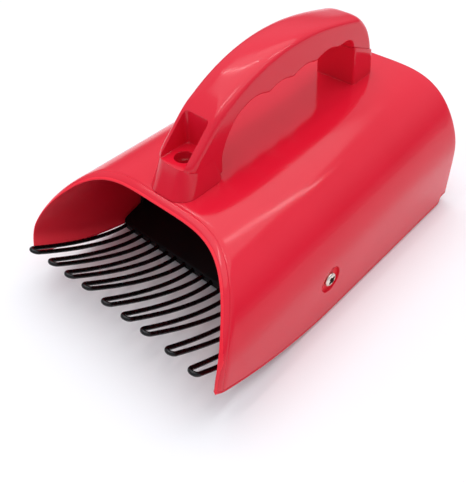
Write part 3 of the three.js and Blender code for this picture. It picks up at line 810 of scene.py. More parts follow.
    def body_rules(self) -> list[PlaceRule]:
        """The Ys of all rows behind the lip, close together round the side recess, up to the step's end.

        Returns:
            The rules, from front to back.
        """
        front = self.front[("side", 0.5)]
        run = self.step_start - front
        reach = self.recess_radius + self.recess_border
        near = (self.recess_y - reach - front) / run
        far = (self.recess_y + reach - front) / run
        rules = []
        for start, end, count in zip((0, near, far), (near, far, 1), self.body_steps):
            rules += [self.body_rule(float(share)) for share in np.linspace(start, end, count + 1)[1:]]
        for k in range(1, self.step_steps + 1):
            rules.append(lambda p, s=k / self.step_steps: self.step_start + self.step_run * s)
        return rules

    def outer_rows(self) -> list[list[Point]]:
        """The rows over the outside, from the foremost line of the lip to the back wall.

        Returns:
            The rows, from front to back.
        """
        rows = []
        for k in range(self.round_steps):
            angle = math.pi / 2 * (1 - k / self.round_steps)
            inset = self.lip_depth + self.lip_half * (1 - math.cos(angle))
            fore = self.lip_half * (1 - math.sin(angle))
            rows.append(self.row(lambda p: self.rim[p] + fore, inset))
        for k in range(self.lip_steps + 1):
            share = k / self.lip_steps
            inset = self.lip_depth * (1 - share) ** self.lip_power
            inset += self.groove_depth * math.exp(-(((share - self.groove_share) / self.groove_spread) ** 2))
            rows.append(self.row(self.lip_rule(share), inset))
        rows += [self.row(rule, 0.0) for rule in self.body_rules()]
        rows.append(self.row(lambda p: self.length - self.edge_radius, 0.0))
        for k in range(1, self.edge_steps + 1):
            angle = math.pi / 2 * k / self.edge_steps
            arc = self.edge_radius * (1 - math.cos(angle))
            y = self.length - self.edge_radius * (1 - math.sin(angle))
            rows.append(self.row(lambda p: y, arc, arc))
        return rows

    def inner_rows(self) -> list[list[Point]]:
        """The rows over the inside, from the foremost line of the lip to the back wall.

        Returns:
            The rows, from front to back.
        """
        rows = []
        for k in range(self.round_steps + 1):
            angle = math.pi / 2 * k / self.round_steps
            inset = self.lip_depth + self.lip_half * (1 + math.sin(angle))
            fore = self.lip_half * (1 - math.cos(angle))
            rows.append(self.row(lambda p: self.rim[p] + fore, inset, inner=k == self.round_steps))
        rules = [self.lip_rule(k / self.lip_steps) for k in range(1, self.lip_steps + 1)]
        rules += [*self.body_rules(), lambda p: self.length - self.wall]
        return rows + [self.row(rule, self.wall, inner=True) for rule in rules]

    def build_shell(self, draft: Draft) -> None:
        """Draw the walls inside and out, the lip, the lower edge, the back and the floor.

        Args:
            draft: the draft to draw on.
        """
        outer = self.outer_rows()
        draft.grid(outer, skip=self.recess_cells(outer, self.round_steps + self.lip_steps))
        draft.cap(outer[-1])
        inner = self.inner_rows()
        draft.grid(inner)
        draft.cap(inner[-1])
        self.build_floor(draft, outer)

    def build_floor(self, draft: Draft, outer: list[list[Point]]) -> None:
        """Draw the floor's underside, its top and its front edge.

        Args:
            draft: the draft to draw on.
            outer: the rows over the outside, whose ends the floor joins.
        """
        across = (1, 0.34, -0.34, -1)
        nearest = 0.05
        x = self.half_width(self.floor_front) - self.wall
        under = [[(x * s, self.floor_front, self.sill(self.floor_front)) for s in across]]
        for row in outer:
            x, y, z = row[0]
            if y > self.floor_front + nearest:
                under.append([(x * s, y, z) for s in across])
        draft.grid(under)
        back = self.length - self.wall
        top = []
        for (_, y, z), *_ in under:
            if y > back:
                break
            half = self.half_width(y) - self.wall
            top.append([(half * s, y, z + self.floor_thickness) for s in across])
        half = self.half_width(back) - self.wall
        top.append([(half * s, back, self.step_rise + self.floor_thickness) for s in across])
        draft.grid(top)
        draft.grid([under[0], top[0]])

    def recess_cells(self, rows: list[list[Point]], first: int) -> set[Cell]:
        """Find the cells round each side recess and keep their border.

        Args:
            rows: the rows over the outside.
            first: the number of the first row behind the lip.

        Returns:
            The cells that are to be left open.
        """
        cells: set[Cell] = set()
        reach = self.recess_radius + self.recess_margin
        half = len(self.spots)
        columns = [i for i in range(half) if self.spots[i][0] == "side"]
        for side in Side:
            index = {i: (i if side is Side.RIGHT else 2 * half - 2 - i) for i in columns}
            middle = min(columns, key=lambda i: abs(rows[first][index[i]][2] - self.recess_z))
            near = [row for row in rows[first:]
                    if abs(row[index[middle]][1] - self.recess_y) < self.recess_radius + self.recess_search]
            low = max(i for i in columns if all(row[index[i]][2] < self.recess_z - reach for row in near))
            high = min(i for i in columns if all(row[index[i]][2] > self.recess_z + reach for row in near))
            front = max(j for j in range(first, len(rows))
                        if all(rows[j][index[i]][1] < self.recess_y - reach for i in (low, high)))
            back = min(j for j in range(front, len(rows))
                       if all(rows[j][index[i]][1] > self.recess_y + reach for i in (low, high)))
            loop = [rows[front][index[i]] for i in range(low, high)]
            loop += [rows[j][index[high]] for j in range(front, back)]
            loop += [rows[back][index[i]] for i in range(high, low, -1)]
            loop += [rows[j][index[low]] for j in range(back, front, -1)]
            self.borders[side] = loop
            shift = 0 if side is Side.RIGHT else -1
            cells |= {(j, index[i] + shift) for j in range(front, back) for i in range(low, high)}
        return cells

    def wall_x(self, y: float, z: float) -> float:
        """The side wall's outside at a distance along the hood and a height."""
        return self.half_width(y) - self.relief(y, z)

    def dish_x(self, y: float, z: float) -> float:
        """The face of the side recess, which is tilted a little against the wall.

        Args:
            y: the distance along the hood.
            z: the height.

        Returns:
            How far out the face lies.
        """
        tilt = self.recess_tilt / self.recess_radius
        bottom = self.half_width(self.recess_y) - self.recess_depth
        return bottom - tilt * (y - self.recess_y) + tilt * (z - self.recess_z)

    def seat_x(self) -> float:
        """How far out the head of a side screw sits."""
        return self.half_width(self.recess_y) - self.recess_depth - self.hub_depth

    def build_recess(self, draft: Draft, side: Side) -> None:
        """Draw the round dished recess of a side screw, from the border of the cells left open.

        Args:
            draft: the draft to draw on.
            side: the side of the hood.
        """
        loop = self.borders[side]
        angles = [math.atan2(z - self.recess_z, y - self.recess_y) for _, y, z in loop]

        def ring(radius: float, x_of: Callable[[float, float], float]) -> list[Point]:
            """A ring of the recess.

            Args:
                radius: the ring's radius.
                x_of: how far out it lies at a Y and a Z.

            Returns:
                The ring's points.
            """
            row = []
            for angle in angles:
                y = self.recess_y + radius * math.cos(angle)
                z = self.recess_z + radius * math.sin(angle)
                row.append((side.value * x_of(y, z), y, z))
            return row

        rows = [loop]
        edge = ring(self.recess_radius + self.recess_round, self.wall_x)
        # Bands from the square border to the round edge, which get narrower towards the edge
        for share in (0.3, 0.62, 0.88):
            row = []
            for (_, y, z), (_, edge_y, edge_z) in zip(loop, edge):
                y, z = y + (edge_y - y) * share, z + (edge_z - z) * share
                row.append((side.value * self.wall_x(y, z), y, z))
            rows.append(row)
        turns = [math.pi / 2 * k / 4 for k in range(5)]
        for angle in turns:
            radius = self.recess_radius + self.recess_round * (1 - math.sin(angle))
            sink = self.recess_round * (1 - math.cos(angle))
            rows.append(ring(radius, lambda y, z: self.wall_x(y, z) - sink))
        for angle in turns:
            radius = self.recess_radius - self.recess_cove * (1 - math.cos(angle))
            raised = self.recess_cove * (1 - math.sin(angle))
            rows.append(ring(radius, lambda y, z: min(self.dish_x(y, z) + raised,
                                                      self.wall_x(y, z) - self.recess_round)))
        seat = self.seat_x() - self.hub_gap
        rows.append(ring(self.dish_radius, self.dish_x))
        rows.append(ring(self.hub_radius + self.hub_chamfer, self.dish_x))
        rows.append(ring(self.hub_radius, lambda y, z: self.dish_x(y, z) - self.hub_chamfer))
        rows.append(ring(self.hub_radius, lambda y, z: seat))
        rows.append(ring(self.hole_radius, lambda y, z: seat))
        draft.grid(rows, closed=True)
        draft.cap(rows[-1])

    def collar(self, radius: float, height: float, chamfer: float, rounding: float) -> list[Pair]:
        """The profile of a bored boss.

        Args:
            radius: its outside radius.
            height: its height.
            chamfer: the chamfer of the bore.
            rounding: the rounding of the outside.

        Returns:
            Radius and height pairs.
        """
        bore = self.bore_radius
        return [(bore, height), (bore, chamfer), (bore + chamfer, 0.0), (radius - rounding, 0.0),
                (radius - 0.15, rounding * 0.3), (radius, rounding), (radius, height), (bore, height)]

    def build_inside(self, draft: Draft) -> None:
        """Draw the pads behind the side screws and the boss of the handle's front screw.

        Args:
            draft: the draft to draw on.
        """
        face = self.half_width(self.recess_y) - self.wall - self.pad_height
        pad = self.collar(self.pad_radius, self.pad_depth, 0.2, 0.5)
        for side in Side:
            out = Vector((side.value, 0, 0))
            draft.lathe(Vector((side.value * face, self.recess_y, self.recess_z)), out, pad, sides=56)
        foot = self.height(self.boss_y) - self.wall / 2 - self.boss_height
        boss = self.collar(self.boss_radius, self.boss_height, 0.3, 0.6)
        draft.lathe(Vector((0, self.boss_y, foot)), UP, boss, sides=40)

    def build(self, post: "RearPost") -> bpy.types.Object:
        """Draw the whole shell, with the rear post on it, and dress it.

        Args:
            post: the rear post, which is part of the same moulding.

        Returns:
            The piece.
        """
        shell = Draft()
        self.build_shell(shell)
        for side in Side:
            self.build_recess(shell, side)
        self.build_inside(shell)
        post.build(shell, self)
        data = shell.mesh("hood_shell_form", 34.0)
        piece = place_piece("hood_form", data, self.finish, Slot.RED, "hood_shell")
        # The inner faces get the lighter red: painted light inside the hood
        data.materials.append(self.inside)
        for face in data.polygons:
            x, y, z = face.center
            if self.is_inside(abs(x) / MM, y / MM - ROW_SHIFT_MM, z / MM):
                face.material_index = 1
        return piece

    def is_inside(self, x: float, y: float, z: float) -> bool:
        """Whether a point lies on the inner side of the wall's middle.

        Args:
            x: its distance from the middle plane.
            y: its distance along the hood.
            z: its height.

        Returns:
            True inside.
        """
        half = self.half_width(y) - self.wall / 2
        shoulder = self.height(y) * self.shoulder_share
        top = self.height(y) - self.wall / 2
        if y > self.length - self.wall / 2 or z < self.sill(y) + self.floor_thickness / 2:
            return False
        if z <= shoulder:
            return x < half
        rise = (z - shoulder) / (top - shoulder)
        return min(x / half, 1.0) ** self.width_power + rise**self.height_power < 1.0


@dataclass
class RearPost:
    """The short post moulded on the hood, up to the slanted joint with the grip, in millimetres."""

    face_y: float = 171.8
    face_lean: float = 1.6
    back_y: float = 194.2
    back_lean: float = 2.2
    half_width: float = 14.0
    front_radius: float = 1.2
    back_radius: float = 5.0
    parting_front: float = 109.6
    parting_back: float = 100.1
    edge_round: float = 0.6
    foot_depth: float = 2.0
    height_steps: int = 12

    def parting(self, y: float) -> float:
        """The height of the slanted joint.

        Args:
            y: the distance along the hood.

        Returns:
            The height.
        """
        front = self.face_y - self.face_lean
        run = self.back_y - self.back_lean - front
        return self.parting_front + (self.parting_back - self.parting_front) * (y - front) / run

    def ring(self, share: float, inset: float, height_of: HeightRule) -> list[Point]:
        """A rounded rectangle in plan at a share of the post's height.

        Args:
            share: 0 at the hood and 1 at the joint.
            inset: how far in from the post's sides.
            height_of: the height at each Y.

        Returns:
            The ring's points.
        """
        return plan_ring(self.half_width - inset, self.face_y - self.face_lean * share + inset,
                         self.back_y - self.back_lean * share - inset,
                         self.front_radius - inset, self.back_radius - inset, height_of)

    def build(self, draft: Draft, hood: HoodShell) -> None:
        """Draw the post on the hood's crown.

        Args:
            draft: the draft to draw on.
            hood: the hood that it stands on.
        """
        rings = []
        for k in range(self.height_steps + 1):
            share = k / self.height_steps

            def height_of(y: float) -> float:
                """The ring's height at a Y."""
                base = hood.height(y) - self.foot_depth
                return base + (self.parting(y) - self.edge_round - base) * share

            rings.append(self.ring(share, 0.0, height_of))
        for k in range(1, 4):
            angle = math.pi / 2 * k / 3
            drop = self.edge_round * (1 - math.sin(angle))
            inset = self.edge_round * (1 - math.cos(angle))
            rings.append(self.ring(1.0, inset, lambda y: self.parting(y) - drop))
        draft.loft(rings)


def plan_ring(half_width: float, front_y: float, back_y: float, front_radius: float, back_radius: float,
              height_of: HeightRule, steps: int = 10) -> list[Point]:
    """A closed ring in plan: a rectangle with its own front and back corner radius.

    Args:
        half_width: half of its width.
        front_y: its front edge.
        back_y: its back edge.
        front_radius: the radius of its front corners.
        back_radius: the radius of its back corners.
        height_of: the height at each Y.
        steps: the steps round each corner.

    Returns:
        The ring's points.
    """
    points: list[Point] = []
    corners = [
        (half_width - front_radius, front_y + front_radius, front_radius, -math.pi / 2),
        (half_width - back_radius, back_y - back_radius, back_radius, 0.0),
        (back_radius - half_width, back_y - back_radius, back_radius, math.pi / 2),
        (front_radius - half_width, front_y + front_radius, front_radius, math.pi),
    ]
    for cx, cy, radius, start in corners:
        for k in range(steps + 1):
            angle = start + k / steps * math.pi / 2
            x, y = cx + radius * math.cos(angle), cy + radius * math.sin(angle)
            points.append((x, y, height_of(y)))
    return points


# Handle


class Track:
    """A path seen from the side: Y, Z, the edge radius there and how much the corner is softened."""

    def __init__(self, start: Pair) -> None:
        """Start at a point."""
        self.spots: list[tuple[float, float, float, float]] = []
        self.here = start

    def line(self, end: Pair, radius: float, soft: float, steps: int = 24) -> None:
        """Go straight to a point.

        Args:
            end: the point.
            radius: the edge radius on the way.
            soft: how much corners are softened on the way.
            steps: the number of steps.
        """
        y, z = self.here
        for k in range(steps):
            share = k / steps
            self.spots.append((y + (end[0] - y) * share, z + (end[1] - z) * share, radius, soft))
        self.here = end

    def curve(self, leave: Pair, arrive: Pair, end: Pair, radius: float, soft: float,
              steps: int = 60) -> None:
        """Swing to a point.

        Args:
            leave: where the path heads at first.
            arrive: where it comes from at last.
            end: the point.
            radius: the edge radius on the way.
            soft: how much corners are softened on the way.
            steps: the number of steps.
        """
        a, b, c, d = self.here, leave, arrive, end
        for k in range(steps):
            t = k / steps
            u = 1 - t
            y, z = (u**3 * a[i] + 3 * u * u * t * b[i] + 3 * u * t * t * c[i] + t**3 * d[i] for i in (0, 1))
            self.spots.append((y, z, radius, soft))
        self.here = end

    def arch(self, pull: Pair, end: Pair, radius: float, soft: float) -> None:
        """Swing to a point in an even arch.

        Args:
            pull: the point that both ends of the arch head for.
            end: the point.
            radius: the edge radius on the way.
            soft: how much corners are softened on the way.
        """
        leave, arrive = [tuple(s[i] + (pull[i] - s[i]) * 2 / 3 for i in (0, 1)) for s in (self.here, end)]
        self.curve(leave, arrive, end, radius, soft)


@dataclass
class LoopHandle:
    """The red loop handle: front post with screw pocket, and grip with finger grooves, in millimetres."""

    finish: bpy.types.Material
    hood: HoodShell
    post: RearPost
    half_width: float = 13.0
    top_height: float = 134.2
    top_y: float = 123.0
    rear_y: float = 175.0
    rear_drop: float = 7.6
    front_y: float = 61.0
    front_drop: float = 16.8
    under_height: float = 111.6
    under_rise: float = 3.32
    groove_first_y: float = 75.0
    groove_pitch: float = 19.8
    groove_depth: float = 2.6
    groove_count: int = 4
    throat_drop: float = 1.29
    post_face_y: float = 28.0
    post_back_y: float = 58.1
    foot_inset: float = 8.0
    foot_lift: float = 2.0
    pocket_floor: float = 92.8
    pocket_front_y: float = 33.5
    pocket_back_y: float = 54.2
    pocket_top: float = 112.8
    pocket_half_width: float = 8.8
    pocket_radius: float = 2.4
    pocket_front_radius: float = 0.3
    pocket_round: float = 0.8
    skirt_height: float = 15.0
    skirt_flare: float = 2.0
    skirt_power: float = 1.5
    skirt_back_radius: float = 6.0
    skirt_face_share: float = 0.94
    skirt_steps: int = 16
    face_run: float = 0.36
    grip_radius: float = 4.0
    under_radius: float = 1.2
    face_radius: float = 9.0
    radius_blend: float = 4.0
    well_radius: float = 5.3
    well_chamfer: float = 0.3
    well_overrun: float = 6.0
    rear_well_depth: float = 40.0
    rear_screw_rise: float = 6.5
    screw_rise: float = 5.4
    gap: float = 0.08
    overrun: float = 12.0
    cut_clearance: float = 0.3
    cut_depth: float = 30.0
    cut_half_width: float = 25.0
    spacing: float = 0.8
    edge_steps: int = 14
    crown_spread: float = 12.6
    crown_power: float = 2.8

    def cusp(self, share: float) -> float:
        """The height of the ridge between two fingers, from the first (0) to the last (1)."""
        return self.under_height + self.under_rise * share**3 * (4 - 3 * share)

    def trace_outside(self, track: Track) -> None:
        """Go up the front post, over the grip and down its rear end.

        Args:
            track: the path, which is at the front post's foot.
        """
        r, post = self.grip_radius, self.post
        front_top = self.top_height - self.front_drop
        rear_top = self.top_height - self.rear_drop
        track.line((self.pocket_front_y, self.pocket_floor), self.face_radius, 2.0)
        track.line((self.pocket_back_y, self.pocket_top), r, 2.0)
        track.line((self.front_y, front_top), r, 3.0)
        # Each curve is pulled by shares of its own run and rise
        span = self.top_y - self.front_y
        track.curve((self.front_y + span * 0.3, front_top + self.front_drop * 0.66),
                    (self.top_y - span * 0.38, self.top_height), (self.top_y, self.top_height), r, 2.0)
        span = self.rear_y - self.top_y
        track.curve((self.top_y + span * 0.4, self.top_height),
                    (self.rear_y - span * 0.26, rear_top + self.rear_drop * 0.34),
                    (self.rear_y, rear_top), r, 2.0)
        drop = rear_top - post.parting_back
        run = post.back_y - post.back_lean - self.rear_y
        track.curve((self.rear_y + run * 0.55, rear_top - drop * 0.22),
                    (self.rear_y + run * 0.9, post.parting_back + drop * 0.4),
                    (self.rear_y + run, post.parting_back), post.back_radius, 1.0)

    def trace_rear_post(self, track: Track) -> None:
        """Go round below the slanted joint, whose cut takes this stretch away.

        Args:
            track: the path, which is at the grip's rear end.
        """
        low = self.post.parting_back - self.overrun
        track.line((track.here[0] + 1.0, low), self.post.back_radius, 0.6)
        track.line((self.post.face_y - 0.8, low), self.under_radius, 2.5)
        face_top = self.post.face_y - self.post.face_lean
        track.line((face_top, self.post.parting_front - self.groove_depth), self.under_radius, 0.6)

    def trace_fingers(self, track: Track) -> None:
        """Go under the grip from finger to finger, and down the back of the front post.

        Args:
            track: the path, which is at the rear post's face.
        """
        r, depth = self.under_radius, self.groove_depth
        face_top = track.here[0]
        high = self.cusp(1) + depth * 0.3
        track.arch((face_top - depth * 0.4, high), (face_top - depth * 3.4, high), r, 0.8)
        track.line((self.groove_first_y + self.groove_pitch * self.groove_count, self.cusp(1)), r, 1.2)
        for k in range(self.groove_count - 1, -1, -1):
            here = track.here
            there = (self.groove_first_y + self.groove_pitch * k, self.cusp(k / self.groove_count))
            track.arch(((here[0] + there[0]) / 2, (here[1] + there[1]) / 2 + 2 * depth), there, r, 1.7)
        run = self.groove_first_y - self.post_back_y
        throat = self.cusp(0) - run * self.throat_drop
        track.curve((self.groove_first_y - run * 0.39, self.cusp(0) - run * 0.01),
                    (self.post_back_y + run * 0.01, throat + run * 0.33), (self.post_back_y, throat), r, 1.6)
        track.line((self.post_back_y, self.hood.height(self.post_back_y) + self.foot_lift), r, 1.6)

    def even_outline(self) -> tuple[np.ndarray, np.ndarray]:
        """Trace the loop as seen from the side, space its points evenly and soften its corners.

        Returns:
            Y and Z of each point, and the edge radius at each point.
        """
        foot = (self.post_face_y + self.foot_inset, self.hood.height(self.post_face_y) + self.foot_lift)
        track = Track(foot)
        self.trace_outside(track)
        self.trace_rear_post(track)
        self.trace_fingers(track)
        track.line(foot, self.under_radius, 1.5)
        closed = np.array([*track.spots, track.spots[0]])
        run = np.concatenate([[0], np.cumsum(np.hypot(np.diff(closed[:, 0]), np.diff(closed[:, 1])))])
        count = int(run[-1] / self.spacing)
        at = np.linspace(0, run[-1], count, endpoint=False)
        even = np.stack([np.interp(at, run, closed[:, k]) for k in range(4)], axis=1)
        reach = 24
        offsets = np.arange(-reach, reach + 1)
        wide = np.exp(-0.5 * (offsets / (self.radius_blend / self.spacing)) ** 2)
        result = even.copy()
        soft = even[:, 3].copy()
        for i in range(count):
            around = even[(i + offsets) % count]
            sigma = max(soft[(i + np.arange(-4, 5)) % count].max(), 0.5) / self.spacing
            weight = np.exp(-0.5 * (offsets / sigma) ** 2)
            weight /= weight.sum()
            result[i, :2] = weight @ around[:, :2]
            result[i, 2] = (wide / wide.sum()) @ around[:, 2]
        return result[:, :2], result[:, 2]

    def build_loop(self) -> bpy.types.Mesh:
        """Draw the loop as a solid with rounded edges of changing radius, and a crowned top.

        Returns:
            The loop.
        """
        line, radius = self.even_outline()
        after, before = np.roll(line, -1, axis=0), np.roll(line, 1, axis=0)
        along = after - before
        along /= np.linalg.norm(along, axis=1)[:, None]
        inward = np.stack([along[:, 1], -along[:, 0]], axis=1)
        area = 0.5 * np.sum(line[:, 0] * after[:, 1] - after[:, 0] * line[:, 1])
        if area > 0:
            inward = -inward
        ahead = np.array([smooth_step((y - self.front_y + 4) / 14) for y in line[:, 0]])
        facing_up = np.array([smooth_step((-z - 0.15) / 0.5) for z in inward[:, 1]])
        spread = radius + (self.crown_spread - radius) * ahead * facing_up
        power = 2 / (2 + (self.crown_power - 2) * ahead * facing_up)
        rows = []
        steps = range(self.edge_steps + 1)
        for side, order in ((1, steps), (-1, reversed(steps))):
            for k in order:
                angle = math.pi / 2 * (1 - k / self.edge_steps)
                shift = radius * (1 - max(math.cos(angle), 0.0) ** power)
                x = side * (self.half_width - spread * (1 - math.sin(angle) ** power))
                spot = line + inward * shift[:, None]
                rows.append([(float(x[i]), float(spot[i, 0]), float(spot[i, 1])) for i in range(len(line))])
        draft = Draft()
        draft.grid(rows, closed=True)
        for row in (rows[0], rows[-1]):
            flat = [Vector((y, z, 0.0)) for _, y, z in row]
            start = len(draft.points)
            draft.points.extend(row)
            draft.faces += [tuple(start + i for i in tri) for tri in tessellate_polygon([flat])]
        return draft.mesh("loop_form")

    def build_skirt(self) -> bpy.types.Mesh:
        """Draw the flared foot of the front post, following the hood's crown.

        Returns:
            The foot.
        """
        rings = []
        for k in range(self.skirt_steps + 1):
            share = k / self.skirt_steps
            flare = self.skirt_flare * (1 - share) ** self.skirt_power - 0.05 * share
            rise = share * self.skirt_height
            rings.append(plan_ring(
                self.half_width + flare, self.post_face_y - flare + rise * self.face_run,
                self.post_back_y - 0.3 - 0.4 * share,
                self.face_radius * self.skirt_face_share + max(flare, 0.0), self.skirt_back_radius,
                lambda y: self.hood.height(y) + self.gap + rise, 12))
        draft = Draft()
        draft.loft(rings)
        return draft.mesh("skirt_form")

    def build_joint_cut(self) -> bpy.types.Mesh:
        """Draw the room under the slanted joint, which is cut from the loop.

        Returns:
            The solid to cut with.
        """
        front = self.post.face_y - self.post.face_lean - self.cut_clearance
        back = self.post.back_y + self.overrun
        low = self.post.parting_back - self.cut_depth
        shape = [(front, low), (back, low), (back, self.post.parting(back) + self.gap),
                 (front, self.post.parting(front) + self.gap)]
        wedge = Draft()
        wedge.loft([[(x, y, z) for y, z in shape] for x in (-self.cut_half_width, self.cut_half_width)])
        return wedge.mesh("joint_cut")

    def build_pocket(self) -> bpy.types.Mesh:
        """Draw the screw pocket, open to the front and to the top.

        Returns:
            The solid to cut with.
        """
        front = self.post_face_y - self.overrun
        levels = []
        for k in range(5):
            angle = math.pi / 2 * k / 4
            levels.append((self.pocket_floor + self.pocket_round * (1 - math.cos(angle)),
                           self.pocket_round * (1 - math.sin(angle))))
        levels.append((self.top_height + self.overrun, 0.0))
        pocket = Draft()
        pocket.loft([plan_ring(self.pocket_half_width - inset, front, self.pocket_back_y - inset,
                               self.pocket_front_radius, self.pocket_radius - inset, lambda y: z, 14)
                     for z, inset in levels])
        return pocket.mesh("pocket_cut")

    def build_wells(self) -> list[bpy.types.Mesh]:
        """Draw the wells of the front and the rear screw.

        Returns:
            The two solids to cut with.
        """
        r = self.well_radius
        seat, axis = self.front_seat()
        top = self.pocket_floor - seat.z + self.well_overrun
        front = Draft()
        front.lathe(seat, axis, [(0.0, 0.0), (r - self.well_chamfer, 0.0), (r, self.well_chamfer),
                                 (r, top), (0.0, top)], sides=64)
        seat, axis = self.rear_seat()
        rear = Draft()
        top = self.rear_well_depth
        rear.lathe(seat, axis, [(0.0, 0.0), (r, 0.0), (r, top), (0.0, top)], sides=64)
        return [front.mesh("well_cut"), rear.mesh("rear_well_cut")]

    def front_seat(self) -> tuple[Vector, Vector]:
        """The seat of the front screw and its direction, above the hood's boss."""
        return Vector((0, self.hood.boss_y, self.hood.height(self.hood.boss_y) + self.screw_rise)), UP

    def rear_seat(self) -> tuple[Vector, Vector]:
        """The seat of the rear screw and its direction, square to the slanted joint.

        Returns:
            The seat and the direction.
        """
        front = self.post.face_y - self.post.face_lean
        back = self.post.back_y - self.post.back_lean
        slope = (self.post.parting_back - self.post.parting_front) / (back - front)
        axis = Vector((0, -slope, 1)).normalized()
        middle = (front + back) / 2
        return Vector((0, middle, self.post.parting(middle))) + axis * self.rear_screw_rise, axis

    def build(self) -> bpy.types.Object:
        """Draw the handle, cut its pocket, wells and joint, and dress it.

        Returns:
            The piece.
        """
        cuts = [self.build_joint_cut(), self.build_pocket(), *self.build_wells()]
        tools = [("UNION", self.build_skirt())] + [("DIFFERENCE", cut) for cut in cuts]
        data = combine(self.build_loop(), tools, 30.0)
        return place_piece("handle_form", data, self.finish, Slot.RED, "handle", weighted=True)


# Comb


@dataclass
class HairpinTooth:
    """One tooth: a hairpin of coated wire, in millimetres."""

    finish: bpy.types.Material
    number: int
    tip_shift: float
    tip_reach: float
    count: int = 9
    pitch: float = 15.64
    root_spacing: float = 8.2
    tip_spacing: float = 5.2
    wire_radius: float = 1.3
    reach: float = 21.85
    tip_height: float = 33.9
    root_height: float = 6.6
    straight_from: float = 44.0
    curve_power: float = 1.49
    tail: float = 25.0
    leg_steps: int = 60
    bend_steps: int = 24
    sides: int = 18

    def path(self) -> list[Vector]:
        """Follow the wire's middle from one root over the tip to the other root.

        Returns:
            The points.
        """
        middle = (self.number - 1 - (self.count - 1) / 2) * self.pitch
        reach = self.reach + self.tip_reach
        run = self.straight_from + reach - self.wire_radius
        end = self.straight_from + self.tail
        tip = self.tip_spacing / 2 + self.wire_radius - reach

        def share(y: float) -> float:
            """The share of the run from the root to the tip."""
            return max(0.0, (self.straight_from - y) / run)

        def half_gap(y: float) -> float:
            """Half the distance between the two legs."""
            return (self.root_spacing + (self.tip_spacing - self.root_spacing) * share(y)) / 2

        def spot(y: float, side: float) -> Vector:
            """A point of the hairpin.

            Args:
                y: the distance along the hood.
                side: -1 for the left leg, 1 for the right one, 0 between them.

            Returns:
                The point.
            """
            bend = share(y) ** self.curve_power
            return Vector((middle + self.tip_shift * bend + side * half_gap(y), y,
                           self.root_height + (self.tip_height - self.root_height) * bend))

        steps = range(self.leg_steps + 1)
        leg = [spot(end + (tip - end) * k / self.leg_steps, -1.0) for k in steps]
        back = [spot(tip + (end - tip) * k / self.leg_steps, 1.0) for k in steps]
        radius = half_gap(tip)
        bend = []
        for k in range(1, self.bend_steps):
            angle = math.pi * k / self.bend_steps
            y = tip - radius * math.sin(angle)
            at = spot(y, 0.0)
            bend.append(Vector((at.x - radius * math.cos(angle), y, at.z)))
        return leg + bend + back

    def build(self) -> bpy.types.Object:
        """Draw the wire and dress it.

        Returns:
            The piece.
        """
        spots = self.path()
        rows = []
        for k, spot in enumerate(spots):
            along = (spots[min(k + 1, len(spots) - 1)] - spots[max(k - 1, 0)]).normalized()
            across = along.cross(UP).normalized()
            over = across.cross(along).normalized()
            row = []
            for s in range(self.sides):
                angle = 2 * math.pi * s / self.sides
                out = math.cos(angle) * across + math.sin(angle) * over
                row.append(tuple(spot + self.wire_radius * out))
            rows.append(row)
        draft = Draft()
        draft.loft(rows)
        data = draft.mesh(f"tooth_{self.number}_form", 50.0)
        return place_piece(f"tooth_wire_{self.number}", data, self.finish, Slot.WIRE,
                           f"comb_tooth_{self.number}")


@dataclass
class Comb:
    """The black base with its clamp strip, and the row of wire teeth, in millimetres.

    No two teeth of a bent wire comb end alike: each has its own sideways shift and reach at the tip.
    """

    plastic: bpy.types.Material
    wire: bpy.types.Material
    tip_shifts: tuple[float, ...] = (-0.2, 0.4, -0.5, -1.8, -0.4, -0.5, -1.3, 1.4, 2.9)
    tip_reaches: tuple[float, ...] = (2.2, 0.9, 0.5, -0.4, -0.2, -0.6, -0.9, -0.8, 0.0)

    def build(self) -> None:
        """Dress the base and the strip, and draw the teeth."""
        dress_node("comb_base", self.plastic)
        dress_node("comb_clamp_strip", self.plastic)
        for number, (shift, reach) in enumerate(zip(self.tip_shifts, self.tip_reaches), start=1):
            HairpinTooth(self.wire, number, shift, reach).build()


# Screws


